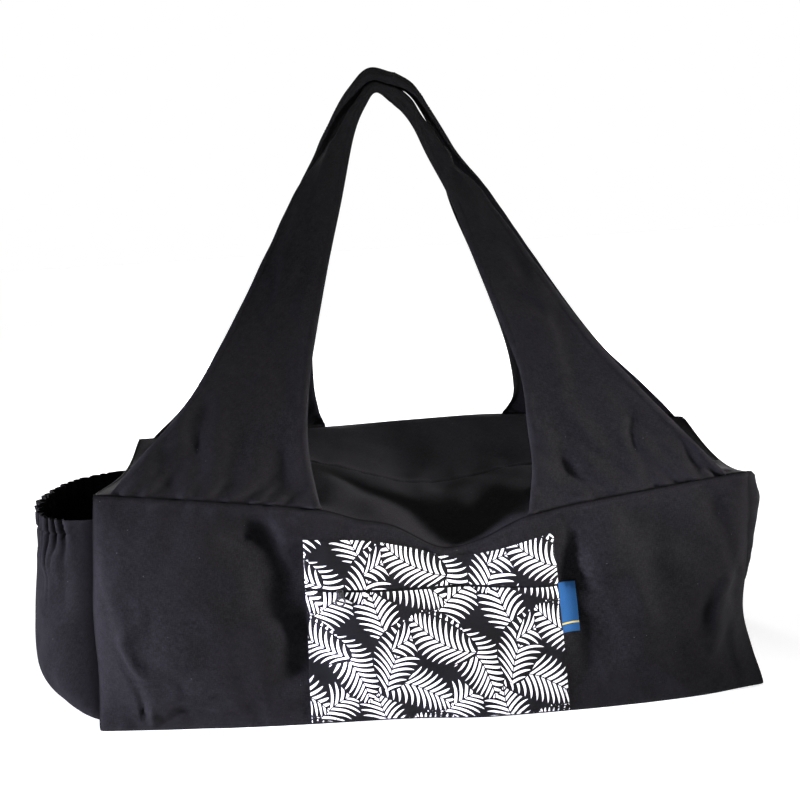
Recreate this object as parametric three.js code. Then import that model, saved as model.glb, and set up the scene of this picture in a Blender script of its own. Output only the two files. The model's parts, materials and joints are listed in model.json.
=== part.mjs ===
// Kit bag in black cotton canvas, hung by its two wide shoulder straps.
// Five body panels and two top panels are sewn edge to edge round a hollow compartment.
// Each strap is two tapered legs that stand on a body seam and fold over each other at the top.
// A printed zip pocket lies on the front, and an elasticated bottle pocket on the left end.
// Millimetres, +X along the bag, +Y away from its front, +Z up.
import * as THREE from "three";

// Driving dimensions
const HALF_DEPTH = 125; // mid-plane to the front and back corner seams
const WALL = 2; // hemmed canvas
const POCKET_WALL = 1.5; // printed cotton
const GAP = 0.3; // between neighbouring pieces
const HANG_X = -6; // where the straps hang, from the middle of the bag
const HANG_Z = 624; // where the straps hang, above the base
const ZIP_Y = 8; // closing line of the top, from the mid-plane
const FRONT_BULGE = 26;
const BACK_BULGE = 24;
const CREASE_SOFTNESS = 9; // rounding where a face turns back at the lower corners
const END_SAG = { left: 8, right: 24 }; // dip of an end's top edge
const END_ROUND = { left: 1.5, right: 0.4 }; // power of an end's outline in plan, lower is fuller
const END_BACK = { left: 1, right: 0.4 }; // share of an end's swelling that is left by its back seam
const TOP_DIP = 45; // stretch of a top panel that dips to an end's top edge
const LEAN = -0.007; // sideways lean of the body's upright lines, per mm of height
const LEAN_TURN = -0.00025; // and how much it changes, per mm along the bag
const EDGE_GAP = 0.7; // where a panel's edge meets a curved inner face

// How a face's bulge and folds die away towards its edges: a higher power keeps them fuller
const BULGE_TO_ENDS = 2.5;
const FOLDS_TO_ENDS = 6;
const FOLDS_TO_TOP = 5;
const TOP_FOLDS_TO_ENDS = 4;

// Colours and finishes
const CANVAS = new THREE.MeshStandardMaterial({ color: 0x1b1b1f, roughness: 0.92, metalness: 0 });
const PRINT = new THREE.MeshStandardMaterial({ color: 0x77777a, roughness: 0.85, metalness: 0 });
const LABEL = new THREE.MeshStandardMaterial({ color: 0x2d5a8c, roughness: 0.7, metalness: 0 });
const ZIP_METAL = new THREE.MeshStandardMaterial({ color: 0x3a3a3c, roughness: 0.4, metalness: 0.8 });

// Seam heights along the bag
const FRONT_TOP = [
  { x: -334, z: 246 },
  { x: -210, z: 232 },
  { x: -98, z: 216 },
  { x: -65, z: 205 },
  { x: -30, z: 196 },
  { x: 16, z: 171 },
  { x: 54, z: 176 },
  { x: 102, z: 196 },
  { x: 220, z: 213 },
  { x: 345, z: 226 },
];
const BACK_TOP = [
  { x: -334, z: 248 },
  { x: -100, z: 246 },
  { x: 6, z: 248 },
  { x: 110, z: 248 },
  { x: 346, z: 230 },
];
const ZIP_TOP = [
  { x: -334, z: 240 },
  { x: -194, z: 241 },
  { x: -113, z: 233 },
  { x: 5, z: 202 },
  { x: 115, z: 214 },
  { x: 225, z: 223 },
  { x: 345, z: 208 },
];

// Body outline by height, as a share of the panel's height
const BODY_ENDS = [
  { share: 0, left: 338, right: 338 },
  { share: 0.14, left: 340, right: 334 },
  { share: 0.35, left: 341, right: 328 },
  { share: 0.65, left: 331, right: 325 },
  { share: 1, left: 319, right: 325 },
];
const FULLNESS = [
  { share: 0, amount: 0.85 },
  { share: 0.35, amount: 1.1 },
  { share: 0.7, amount: 0.9 },
  { share: 1, amount: 0.4 },
];
// Where a face turns back towards the end, and how steeply
const TURN_BACK = [
  { share: 0, left: 318, right: 312, slope: 0 },
  { share: 0.03, left: 312, right: 302, slope: 0.04 },
  { share: 0.12, left: 295, right: 281, slope: 0.35 },
  { share: 0.3, left: 302, right: 288, slope: 0.75 },
  { share: 0.55, left: 313, right: 305, slope: 0.6 },
  { share: 0.8, left: 317, right: 318, slope: 0.2 },
  { share: 1, left: 320, right: 325, slope: 0 },
];
// How far an end panel swells at mid-depth: the left end is pressed in by what its pocket holds
const END_SWELL = [
  { share: 0, left: 0, right: 0 },
  { share: 0.2, left: -10, right: -4 },
  { share: 0.4, left: -18, right: 5 },
  { share: 0.65, left: -20, right: 22 },
  { share: 0.85, left: -14, right: 29 },
  { share: 1, left: -6, right: 18 },
];

// Folds of the front and back panels: a line from one point to another, its width, and its depth inwards
const FRONT_FOLDS = [
  { x0: 132, z0: 187, x1: 151, z1: 56, width: 17, depth: 9 },
  { x0: 165, z0: 196, x1: 207, z1: 65, width: 24, depth: -7 },
  { x0: -123, z0: 198, x1: -139, z1: 63, width: 17, depth: 5 },
  { x0: -15, z0: 200, x1: 43, z1: 129, width: 24, depth: 7 },
  { x0: -288, z0: 77, x1: -235, z1: 20, width: 16, depth: 4 },
  { x0: 60, z0: 0, x1: 270, z1: 0, width: 60, depth: -11 },
];
const BACK_FOLDS = [
  { x0: -115, z0: 228, x1: -148, z1: 74, width: 24, depth: 7 },
  { x0: 130, z0: 222, x1: 162, z1: 76, width: 24, depth: 7 },
];
// Folds of the top: the same, with depth downwards
const TOP_FOLDS = [
  { x0: -109, z0: -25, x1: -39, z1: -115, width: 18, depth: -6 },
  { x0: -119, z0: -95, x1: -79, z1: -125, width: 18, depth: 10 },
  { x0: 66, z0: -60, x1: 116, z1: -120, width: 20, depth: 8 },
  { x0: -24, z0: 110, x1: -4, z1: 10, width: 26, depth: 6 },
];

// Strap legs, from the body seam to the seam at the top. Each row is one section across the leg:
// x, y and z of its crest, half its flat width, the direction from its crest to its outer edge
// (tilt, degrees from +X in the XZ plane), and how far its outer half folds over (fold, degrees).
const FRONT_LEFT_LEG = [
  { x: -201, y: -125, z: 230, half: 104, tilt: 172.6, fold: 0 },
  { x: -189, y: -115, z: 256, half: 87, tilt: 167.6, fold: 0 },
  { x: -167, y: -101, z: 303, half: 62, tilt: 160.6, fold: 0 },
  { x: -142, y: -82, z: 368, half: 46, tilt: 151.6, fold: 8 },
  { x: -110, y: -57, z: 457, half: 35, tilt: 150.6, fold: 32 },
  { x: -87, y: -38, z: 525, half: 31, tilt: 149.6, fold: 60 },
  { x: -57, y: -18, z: 584, half: 17, tilt: 146.6, fold: 95 },
  { x: -37, y: -6, z: 613, half: 13, tilt: 134.6, fold: 140 },
  { x: -21, y: 0, z: 629, half: 15, tilt: 106.6, fold: 170 },
  { x: 1.85, y: 0, z: 624, half: 21, tilt: 73.6, fold: 175 },
];
const FRONT_RIGHT_LEG = [
  { x: 203, y: -125, z: 208, half: 101, tilt: 7.1, fold: 0 },
  { x: 192, y: -115, z: 246, half: 81, tilt: 7.6, fold: 0 },
  { x: 169, y: -101, z: 294, half: 60, tilt: 12.6, fold: 0 },
  { x: 143, y: -86, z: 351, half: 40, tilt: 22.6, fold: 8 },
  { x: 97, y: -59, z: 449, half: 28, tilt: 30.6, fold: 32 },
  { x: 69, y: -40, z: 516, half: 22.5, tilt: 34.6, fold: 62 },
  { x: 45, y: -21, z: 561, half: 19, tilt: 35.6, fold: 95 },
  { x: 29, y: -8, z: 589, half: 16, tilt: 38.6, fold: 140 },
  { x: 18, y: 0, z: 610, half: 20, tilt: 50.6, fold: 170 },
  { x: 2.15, y: 0, z: 624, half: 21, tilt: 73.6, fold: 175 },
];
const BACK_LEFT_LEG = [
  { x: -201, y: 125, z: 247, half: 101, tilt: 179.6, fold: 0 },
  { x: -183, y: 112, z: 279, half: 78, tilt: 174.6, fold: 0 },
  { x: -164, y: 99, z: 322, half: 58, tilt: 164.6, fold: 0 },
  { x: -141, y: 80, z: 382, half: 42, tilt: 152.6, fold: 8 },
  { x: -111, y: 56, z: 463, half: 32, tilt: 150.6, fold: 32 },
  { x: -88, y: 38, z: 529, half: 28, tilt: 149.6, fold: 60 },
  { x: -63, y: 18, z: 594, half: 20, tilt: 146.6, fold: 95 },
  { x: -43, y: 6, z: 626, half: 18, tilt: 134.6, fold: 140 },
  { x: -24, y: 0, z: 642, half: 20, tilt: 106.6, fold: 170 },
  { x: 1.85, y: 0, z: 637, half: 20, tilt: 73.6, fold: 175 },
];
const BACK_RIGHT_LEG = [
  { x: 213, y: 125, z: 242, half: 103, tilt: -5.4, fold: 0 },
  { x: 199, y: 112, z: 274, half: 77, tilt: 1.6, fold: 0 },
  { x: 173, y: 99, z: 317, half: 54, tilt: 10.6, fold: 0 },
  { x: 146, y: 82, z: 369, half: 40, tilt: 22.6, fold: 8 },
  { x: 105, y: 59, z: 454, half: 30, tilt: 30.6, fold: 32 },
  { x: 74, y: 40, z: 519, half: 25, tilt: 34.6, fold: 60 },
  { x: 51, y: 20, z: 568, half: 11, tilt: 35.6, fold: 95 },
  { x: 34, y: 6, z: 601, half: 10, tilt: 38.6, fold: 140 },
  { x: 21, y: 0, z: 623, half: 15, tilt: 50.6, fold: 170 },
  { x: 2.15, y: 0, z: 637, half: 20, tilt: 73.6, fold: 175 },
];
const FRONT_BEND = 6; // outer radius of the front strap's fold, which lies inside the back strap's
const BACK_BEND = 11;
// Soft pleats that rise from a strap's foot: where across the leg, how wide, how deep
const FOOT_PLEATS = [
  { across: 0.22, width: 0.06, depth: 3 },
  { across: 0.48, width: 0.08, depth: 5 },
  { across: 0.78, width: 0.09, depth: 8 },
];
const PLEAT_START = 0.5; // sections above the foot where the pleats are deepest
const PLEAT_END = 2.6; // and where they have faded

// Printed pocket on the front
const POCKET_LEFT = -123;
const POCKET_RIGHT = 133;
const POCKET_BOTTOM = 3;
const POCKET_ZIP_Z = 136; // lower edge of the band that covers the zip
const POCKET_PUFF = 7;
const BAND_LIFT = 1.5; // how far the band's lower edge stands off
const BAND_TOP = [
  { x: -335, z: 198 },
  { x: -119, z: 189 },
  { x: -56, z: 184 },
  { x: -16, z: 174 },
  { x: 24, z: 162 },
  { x: 64, z: 165 },
  { x: 130, z: 179 },
  { x: 344, z: 180 },
];

// Zip slider with its ring
const SLIDER_X = -88;
const SLIDER_WIDTH = 7;
const SLIDER_HEIGHT = 8;
const SLIDER_DEPTH = 2.2;
const RING_OUTER = 5.5;
const RING_HOLE = 3.2;
const RING_SEGMENTS = 8;

// Woven label sewn into the pocket's right seam
const LABEL_RIGHT = 151;
const LABEL_BOTTOM = 85;
const LABEL_THICKNESS = 1.2;

// Lines that the body's pieces share, so that what is sewn on a panel follows its facets
const PANEL_COLUMNS = [
  { from: -338, to: POCKET_LEFT, count: 13 },
  { from: POCKET_LEFT, to: POCKET_RIGHT, count: 15 },
  { from: POCKET_RIGHT, to: LABEL_RIGHT, count: 2 },
  { from: LABEL_RIGHT, to: 338, count: 11 },
];
const LOWER_ROWS = [0, POCKET_BOTTOM, 28, 54, LABEL_BOTTOM, 110, POCKET_ZIP_Z];
const BAND_ROWS = 3;
const EDGE_ROWS = 2;
const ROW_TILT = -0.00035; // share by which the lower rows fall, per mm along the bag
const STRAIGHT_ZONE = 200; // inside this, columns stand upright
const BACK_COLUMNS = 24;
const TOP_CORNER = 300; // beyond this, a top panel has no column before its end
const TOP_ROWS = 6;
const STRAP_SECTIONS = 22;
const STRAP_ROWS = 8;
const END_DEPTHS = [0, 0.06, 0.16, 0.28, 0.42, 0.58, 0.72, 0.84, 0.94, 1]; // front seam to back seam

// Bottle pocket on the left end
const SIDE_POCKET_SEAMS = [0.06, 0.94]; // share of the end's depth where its sides are sewn
const SIDE_POCKET_ROWS = [5, 7, 11, 19, 32, 46, 63, 95, 123, 154, 175, 196, 215]; // heights, bottom to rim
const SIDE_POCKET_REACH = 95; // outwards from the pressed-in end
const SIDE_POCKET_ROUND = 0.38; // power of its outline in plan, lower is fuller
const SIDE_POCKET_COLUMNS = 36;
const GATHERS = 9;
const GATHER_DEPTH = 2.4;
const GATHER_SHARE = 0.3; // part of the height that the elastic gathers
const NORMAL_STEP = 0.01; // share of the pocket's width or height over which its slope is taken
const SIDE_POCKET_SWELL = [
  { share: 0, amount: 0 },
  { share: 0.01, amount: 0.3 },
  { share: 0.03, amount: 0.52 },
  { share: 0.07, amount: 0.74 },
  { share: 0.12, amount: 0.88 },
  { share: 0.2, amount: 0.96 },
  { share: 0.4, amount: 1 },
  { share: 0.8, amount: 1 },
  { share: 0.9, amount: 0.97 },
  { share: 1, amount: 0.96 },
];

const { lerp, clamp, degToRad, smoothstep } = THREE.MathUtils;
const smooth = (t) => smoothstep(t, 0, 1);
const range = (count, value) => Array.from({ length: count + 1 }, (_, i) => value(i / count));

// A smooth curve through a table's rows: the value of one column at a given key
function through(rows, key, column) {
  const slope = rows.map((_, i) => {
    const before = rows[Math.max(i - 1, 0)];
    const after = rows[Math.min(i + 1, rows.length - 1)];
    return (after[column] - before[column]) / (after[key] - before[key]);
  });
  return (at) => {
    let i = 0;
    while (i < rows.length - 2 && at > rows[i + 1][key]) i += 1;
    const span = rows[i + 1][key] - rows[i][key];
    const t = clamp((at - rows[i][key]) / span, 0, 1);
    const eased = lerp(rows[i][column], rows[i + 1][column], smooth(t));
    return eased + span * t * (1 - t) * ((1 - t) * slope[i] - t * slope[i + 1]);
  };
}

const frontTop = through(FRONT_TOP, "x", "z");
const backTop = through(BACK_TOP, "x", "z");
const zipTop = through(ZIP_TOP, "x", "z");
const bandTop = through(BAND_TOP, "x", "z");
const fullness = through(FULLNESS, "share", "amount");
const turnSlope = through(TURN_BACK, "share", "slope");
const sidePocketSwell = through(SIDE_POCKET_SWELL, "share", "amount");
const SIDES = ["left", "right"];
const OUTWARD = { left: -1, right: 1 };
const sideOf = (x) => (x < 0 ? "left" : "right");
const bySide = (rows) => Object.fromEntries(SIDES.map((side) => [side, through(rows, "share", side)]));
const bodyEnd = bySide(BODY_ENDS);
const turnLine = bySide(TURN_BACK);
const endSwell = bySide(END_SWELL);

// Sum of the folds of a table at a point of the sheet
function foldDepth(folds, x, z) {
  return folds.reduce((sum, fold) => {
    const dx = fold.x1 - fold.x0;
    const dz = fold.z1 - fold.z0;
    const length = Math.hypot(dx, dz);
    const along = ((x - fold.x0) * dx + (z - fold.z0) * dz) / length;
    const across = ((x - fold.x0) * dz - (z - fold.z0) * dx) / length;
    const past = Math.max(-along, along - length, 0);
    return sum + fold.depth * Math.exp(-(across * across + past * past) / (fold.width * fold.width));
  }, 0);
}

const FRONT = { top: frontTop, bulge: FRONT_BULGE, folds: FRONT_FOLDS, toward: -1 };
const BACK = { top: backTop, bulge: BACK_BULGE, folds: BACK_FOLDS, toward: 1 };

// Y of the outer face of the front or back panel
function faceY(face, x, z) {
  const share = clamp(z / face.top(x), 0, 1);
  const side = sideOf(x);
  const edge = Math.min(Math.abs(x) / bodyEnd[side](share), 1);
  const bulge = face.bulge * (1 - Math.pow(edge, BULGE_TO_ENDS)) * fullness(share);
  const beyond = Math.abs(x) - turnLine[side](share);
  const turned = (turnSlope(share) * (beyond + Math.hypot(beyond, CREASE_SOFTNESS))) / 2;
  const inside = (1 - Math.pow(edge, FOLDS_TO_ENDS)) * (1 - Math.pow(share, FOLDS_TO_TOP));
  return face.toward * (HALF_DEPTH + bulge - turned - foldDepth(face.folds, x, z) * inside);
}

// The lattice of the body panels: columns along the bag, rows up it
const HALF_LENGTH = bodyEnd.left(0);
const columnStops = PANEL_COLUMNS.flatMap(({ from, to, count }, k) => {
  const stops = range(count, (t) => lerp(from, to, t));
  return k === 0 ? stops : stops.slice(1);
});
const backStops = range(BACK_COLUMNS, (t) => lerp(-HALF_LENGTH, HALF_LENGTH, t));
const zipRow = LOWER_ROWS.length - 1;
const bandRow = zipRow + BAND_ROWS;
const topRow = bandRow + EDGE_ROWS;
const rowStops = range(topRow, (t) => Math.round(t * topRow));
const columnsFrom = (low, high) => columnStops.filter((x) => x >= low && x <= high);
const rowsFrom = (low, high) => rowStops.filter((row) => row >= low && row <= high);

function rowHeight(face, x, row) {
  const tilted = (height) => height * (1 + ROW_TILT * x);
  if (row <= zipRow) return tilted(LOWER_ROWS[row]);
  if (row <= bandRow) return lerp(tilted(POCKET_ZIP_Z), bandTop(x), (row - zipRow) / BAND_ROWS);
  return lerp(bandTop(x), face.top(x), (row - bandRow) / EDGE_ROWS);
}

// A lattice point on the outer face: its column stands upright, but follows the body's outline at the ends
function facePoint(face, column, row) {
  const side = sideOf(column);
  const height = rowHeight(face, column, row);
  const share = height / face.top(column);
  const away = smooth((Math.abs(column) - STRAIGHT_ZONE) / (HALF_LENGTH - STRAIGHT_ZONE));
  const upright = column + (LEAN + LEAN_TURN * column) * height;
  const x = lerp(upright, column + OUTWARD[side] * (bodyEnd[side](share) - HALF_LENGTH), away);
  const z = rowHeight(face, x, row);
  return new THREE.Vector3(x, faceY(face, x, z), z);
}

// A point on an end panel's outer face: `depth` runs from the front seam to the back seam
function endPoint(side, depth, row) {
  const front = facePoint(FRONT, OUTWARD[side] * HALF_LENGTH, row);
  const back = facePoint(BACK, OUTWARD[side] * HALF_LENGTH, row);
  const share = front.z / frontTop(front.x);
  const arch = Math.sin(Math.PI * depth);
  front.y += WALL + GAP;
  back.y -= WALL + GAP;
  const point = front.lerp(back, depth);
  const swell = endSwell[side](share) * Math.pow(arch, END_ROUND[side]) * lerp(1, END_BACK[side], depth);
  point.x += OUTWARD[side] * swell;
  point.z -= END_SAG[side] * share * share * arch;
  return point;
}

// The step of a rising list that holds a value, and how far into the step the value lies
function stepOf(stops, value) {
  let index = 0;
  while (index < stops.length - 2 && value > stops[index + 1]) index += 1;
  return { index, into: (value - stops[index]) / (stops[index + 1] - stops[index]) };
}

// A point on an end panel's facets, at a share of its depth and a height
function onEndPanel(side, depth, height) {
  const column = stepOf(END_DEPTHS, depth);
  const [near, far] = END_DEPTHS.slice(column.index, column.index + 2);
  const edge = rowStops.map((row) => endPoint(side, near, row).lerp(endPoint(side, far, row), column.into));
  const row = stepOf(edge.map((point) => point.z), height);
  return edge[row.index].clone().lerp(edge[row.index + 1], row.into);
}

// A cloth wall: a grid of points on one face, and the same grid moved by the offset, closed round the rim
function clothWall({ columns, rows, point, offset }) {
  const across = columns.length;
  const last = { column: across - 1, row: rows.length - 1 };
  const grid = rows.flatMap((v) => columns.map((u) => [u, v]));
  const near = grid.map(([u, v]) => point(u, v));
  const far = near.map((p, k) => p.clone().add(offset(...grid[k])));
  const triangles = [];
  const quad = (a, b, c, d) => triangles.push(a, b, c, a, c, d);
  const at = (i, j) => j * across + i;
  for (let j = 0; j < last.row; j += 1) {
    for (let i = 0; i < last.column; i += 1) {
      const corners = [at(i, j), at(i + 1, j), at(i + 1, j + 1), at(i, j + 1)];
      const [a, b, c, d] = corners.map((k) => k + grid.length);
      quad(...corners);
      triangles.push(a, c, b, a, d, c);
    }
  }
  const rim = (a, b) => quad(b, a, a + grid.length, b + grid.length);
  for (let i = 0; i < last.column; i += 1) {
    rim(at(i, 0), at(i + 1, 0));
    rim(at(i + 1, last.row), at(i, last.row));
  }
  for (let j = 0; j < last.row; j += 1) {
    rim(at(last.column, j), at(last.column, j + 1));
    rim(at(0, j + 1), at(0, j));
  }
  return facingOut([...near, ...far], triangles);
}

// A closed geometry whose triangles all face outwards
function facingOut(points, triangles) {
  let volume = 0;
  for (let i = 0; i < triangles.length; i += 3) {
    const [a, b, c] = triangles.slice(i, i + 3).map((k) => points[k]);
    volume += a.dot(b.clone().cross(c));
  }
  if (volume < 0) triangles.reverse();
  const geometry = new THREE.BufferGeometry().setFromPoints(points);
  geometry.setIndex(triangles);
  geometry.computeVertexNormals();
  return geometry;
}

const bag = new THREE.Group();
bag.position.set(-HANG_X, 0, -HANG_Z);

function addPiece(name, geometry, material) {
  const mesh = new THREE.Mesh(geometry, material);
  mesh.name = name;
  bag.add(mesh);
  return mesh;
}

// Front and back panels
function facePanel(face, columns) {
  return clothWall({
    columns,
    rows: rowStops,
    point: (column, row) => facePoint(face, column, row),
    offset: () => new THREE.Vector3(0, -face.toward * WALL, 0),
  });
}

function endPanel(side) {
  return clothWall({
    columns: END_DEPTHS,
    rows: rowStops,
    point: (depth, row) => endPoint(side, depth, row),
    offset: () => new THREE.Vector3(-OUTWARD[side] * WALL, 0, 0),
  });
}

// Flat base, cut to the inner faces of the panels round it
function basePanel() {
  const end = HALF_LENGTH - WALL - EDGE_GAP;
  const edge = (face, columns) => {
    const stops = [-end, ...columns.filter((x) => Math.abs(x) < end), end];
    return stops.map((x) => new THREE.Vector2(x, faceY(face, x, 0) - face.toward * (WALL + EDGE_GAP)));
  };
  const outline = [...edge(FRONT, columnStops), ...edge(BACK, backStops).reverse()];
  return new THREE.ExtrudeGeometry(new THREE.Shape(outline), { depth: WALL, bevelEnabled: false });
}

// Top panels: from the front or back seam to the closing line, over a sagging surface
function topPanel(face) {
  const zipSide = ZIP_Y + (face.toward * GAP) / 2;
  const everySecond = columnStops.filter((x, i) => i % 2 === 0 && Math.abs(x) < TOP_CORNER);
  return clothWall({
    columns: [-HALF_LENGTH, ...everySecond, HALF_LENGTH],
    rows: range(TOP_ROWS, (t) => t),
    point: (column, v) => {
      const straight = lerp(face.toward * HALF_DEPTH, zipSide, v);
      const depth = (straight + HALF_DEPTH) / (2 * HALF_DEPTH);
      const leftRim = endPoint("left", depth, topRow);
      const rightRim = endPoint("right", depth, topRow);
      const left = leftRim.x + WALL + EDGE_GAP;
      const right = rightRim.x - WALL - EDGE_GAP;
      const x = clamp(column, left, right);
      const edgeY = faceY(face, x, face.top(x)) - face.toward * (WALL + EDGE_GAP);
      const y = lerp(edgeY, zipSide, v);
      const fade = Math.sin(Math.PI * v) * (1 - Math.pow(x / HALF_LENGTH, TOP_FOLDS_TO_ENDS));
      const sagged = lerp(face.top(x), zipTop(x), smooth(v)) - foldDepth(TOP_FOLDS, x, y) * fade;
      const toLeft = smooth(1 - (x - left) / TOP_DIP);
      const toRight = smooth(1 - (right - x) / TOP_DIP);
      const z = lerp(lerp(sagged, leftRim.z, toLeft), rightRim.z, toRight);
      return new THREE.Vector3(x, y, z);
    },
    offset: () => new THREE.Vector3(0, 0, -WALL),
  });
}

// One section across a strap: how far a point lies from the crest along the outward direction and
// along Y, and the angle that the cloth has turned through there
function foldedSection(along, fold, bend) {
  const half = (fold * bend) / 2;
  const bent = clamp(along, -half, half);
  const straight = along - bent;
  const angle = fold / 2 + bent / bend;
  return {
    out: bend * (Math.sin(angle) - Math.sin(fold / 2)) + straight * Math.cos(angle),
    over: bend * (Math.cos(fold / 2) - Math.cos(angle)) + straight * Math.sin(angle),
    angle,
  };
}

const STRAP_COLUMNS = ["x", "y", "z", "half", "tilt", "fold"];

// One strap leg: `u` runs from its foot to the seam at the top, `v` from its outer to its inner edge
function strapLeg({ face, table, bend }) {
  const sections = table.map((row, station) => ({ ...row, station }));
  const curves = STRAP_COLUMNS.map((column) => through(sections, "station", column));
  const over = -face.toward;
  const section = (station, v) => {
    const [x, y, z, half, tilt, fold] = curves.map((curve) => curve(station));
    const place = foldedSection(half * (1 - 2 * v), degToRad(fold), bend);
    const out = new THREE.Vector3(Math.cos(degToRad(tilt)), 0, Math.sin(degToRad(tilt)));
    const inward = out.clone().multiplyScalar(-Math.sin(place.angle));
    inward.y = over * Math.cos(place.angle);
    const point = out.multiplyScalar(place.out).add(new THREE.Vector3(x, y + over * place.over, z));
    return { point, inward };
  };
  const foot = (v) => {
    const x = section(0, v).point.x;
    const z = face.top(x);
    return new THREE.Vector3(x, faceY(face, x, z), z + GAP);
  };
  const pleat = (station, v) => {
    const fade = smooth(station / PLEAT_START) * (1 - smoothstep(station, PLEAT_START, PLEAT_END));
    return FOOT_PLEATS.reduce((sum, fold) => {
      const distance = (v - fold.across) / fold.width;
      return sum + fade * fold.depth * Math.exp(-distance * distance);
    }, 0);
  };
  return clothWall({
    columns: range(STRAP_SECTIONS, (t) => t * (table.length - 1)),
    rows: range(STRAP_ROWS, (t) => t),
    point: (station, v) => {
      const { point, inward } = section(station, v);
      const seated = foot(v).sub(section(0, v).point).multiplyScalar(1 - smooth(station));
      return point.add(seated).addScaledVector(inward, pleat(station, v));
    },
    offset: (station, v) => section(station, v).inward.multiplyScalar(WALL),
  });
}

// Printed pocket: the panel below the zip, and the band that hangs over the zip
function pocketPoint(x, row) {
  const point = facePoint(FRONT, x, row);
  const across = (x - POCKET_LEFT) / (POCKET_RIGHT - POCKET_LEFT);
  const up = (LOWER_ROWS[row] - POCKET_BOTTOM) / (POCKET_ZIP_Z - POCKET_BOTTOM);
  point.y -= GAP + POCKET_PUFF * Math.sin(Math.PI * across) * Math.sin(Math.PI * up);
  return point;
}

function pocketPanel() {
  return clothWall({
    columns: columnsFrom(POCKET_LEFT, POCKET_RIGHT),
    rows: rowsFrom(1, zipRow),
    point: pocketPoint,
    offset: () => new THREE.Vector3(0, -POCKET_WALL, 0),
  });
}

function pocketBand() {
  return clothWall({
    columns: columnsFrom(POCKET_LEFT, POCKET_RIGHT),
    rows: rowsFrom(zipRow, bandRow),
    point: (x, row) => {
      const point = facePoint(FRONT, x, row);
      const up = (row - zipRow) / BAND_ROWS;
      point.y -= GAP + BAND_LIFT * (1 - smooth(up * 2));
      point.z += row === zipRow ? GAP : 0;
      return point;
    },
    offset: () => new THREE.Vector3(0, -POCKET_WALL, 0),
  });
}

// Slider and ring, cut from one plate
function zipPull() {
  const ringCentre = -SLIDER_HEIGHT / 2 - RING_HOLE;
  const half = SLIDER_WIDTH / 2;
  const neck = Math.asin(half / RING_OUTER);
  const outline = new THREE.Shape();
  outline.moveTo(half, SLIDER_HEIGHT / 2);
  outline.lineTo(-half, SLIDER_HEIGHT / 2);
  outline.absarc(0, ringCentre, RING_OUTER, Math.PI / 2 + neck, Math.PI * 2.5 - neck, false);
  outline.closePath();
  const hole = new THREE.Path();
  hole.absarc(0, ringCentre, RING_HOLE, 0, 2 * Math.PI, true);
  outline.holes.push(hole);
  return new THREE.ExtrudeGeometry(outline, {
    depth: SLIDER_DEPTH,
    bevelEnabled: false,
    curveSegments: RING_SEGMENTS,
  });
}

// The slider lies on the pocket, just under the band
function addZipPull() {
  const pull = addPiece("zip_pull", zipPull(), ZIP_METAL);
  const [low, high] = [zipRow - 1, zipRow].map((row) => pocketPoint(SLIDER_X, row));
  const middle = high.z - GAP - SLIDER_HEIGHT / 2;
  pull.position.lerpVectors(low, high, (middle - low.z) / (high.z - low.z));
  pull.position.y -= POCKET_WALL + EDGE_GAP;
  pull.rotation.x = Math.PI / 2 - Math.atan2(high.y - low.y, high.z - low.z);
}

function labelTab() {
  return clothWall({
    columns: columnsFrom(POCKET_RIGHT, LABEL_RIGHT),
    rows: rowsFrom(LOWER_ROWS.indexOf(LABEL_BOTTOM), zipRow),
    point: (column, row) => {
      const point = facePoint(FRONT, column, row);
      point.x += column === POCKET_RIGHT ? GAP : 0;
      point.y -= GAP;
      return point;
    },
    offset: () => new THREE.Vector3(0, -LABEL_THICKNESS, 0),
  });
}

// Bottle pocket: a pouch sewn down its sides and bottom, gathered by elastic at its rim
function sidePocket() {
  const bottom = SIDE_POCKET_ROWS[0];
  const rim = SIDE_POCKET_ROWS.at(-1);
  const inner = (u, v) => {
    const seat = onEndPanel("left", lerp(...SIDE_POCKET_SEAMS, u), lerp(bottom, rim, v));
    const arch = Math.sin(Math.PI * clamp(u, 0, 1));
    const gathered = GATHER_DEPTH * smooth((v - 1 + GATHER_SHARE) / GATHER_SHARE);
    const ripple = gathered * arch * Math.cos(2 * Math.PI * GATHERS * u);
    seat.x -= EDGE_GAP + ripple + SIDE_POCKET_REACH * sidePocketSwell(v) * Math.pow(arch, SIDE_POCKET_ROUND);
    return seat;
  };
  const near = (share) => [clamp(share - NORMAL_STEP, 0, 1), clamp(share + NORMAL_STEP, 0, 1)];
  const outward = (u, v) => {
    const [left, right] = near(u).map((share) => inner(share, v));
    const [low, high] = near(v).map((share) => inner(u, share));
    return high.sub(low).cross(right.sub(left)).normalize();
  };
  return clothWall({
    columns: range(SIDE_POCKET_COLUMNS, (t) => t),
    rows: SIDE_POCKET_ROWS.map((height) => (height - bottom) / (rim - bottom)),
    point: inner,
    offset: (u, v) => outward(u, v).multiplyScalar(WALL),
  });
}

const STRAPS = [
  { name: "strap_front_left", face: FRONT, table: FRONT_LEFT_LEG, bend: FRONT_BEND },
  { name: "strap_front_right", face: FRONT, table: FRONT_RIGHT_LEG, bend: FRONT_BEND },
  { name: "strap_back_left", face: BACK, table: BACK_LEFT_LEG, bend: BACK_BEND },
  { name: "strap_back_right", face: BACK, table: BACK_RIGHT_LEG, bend: BACK_BEND },
];

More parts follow.
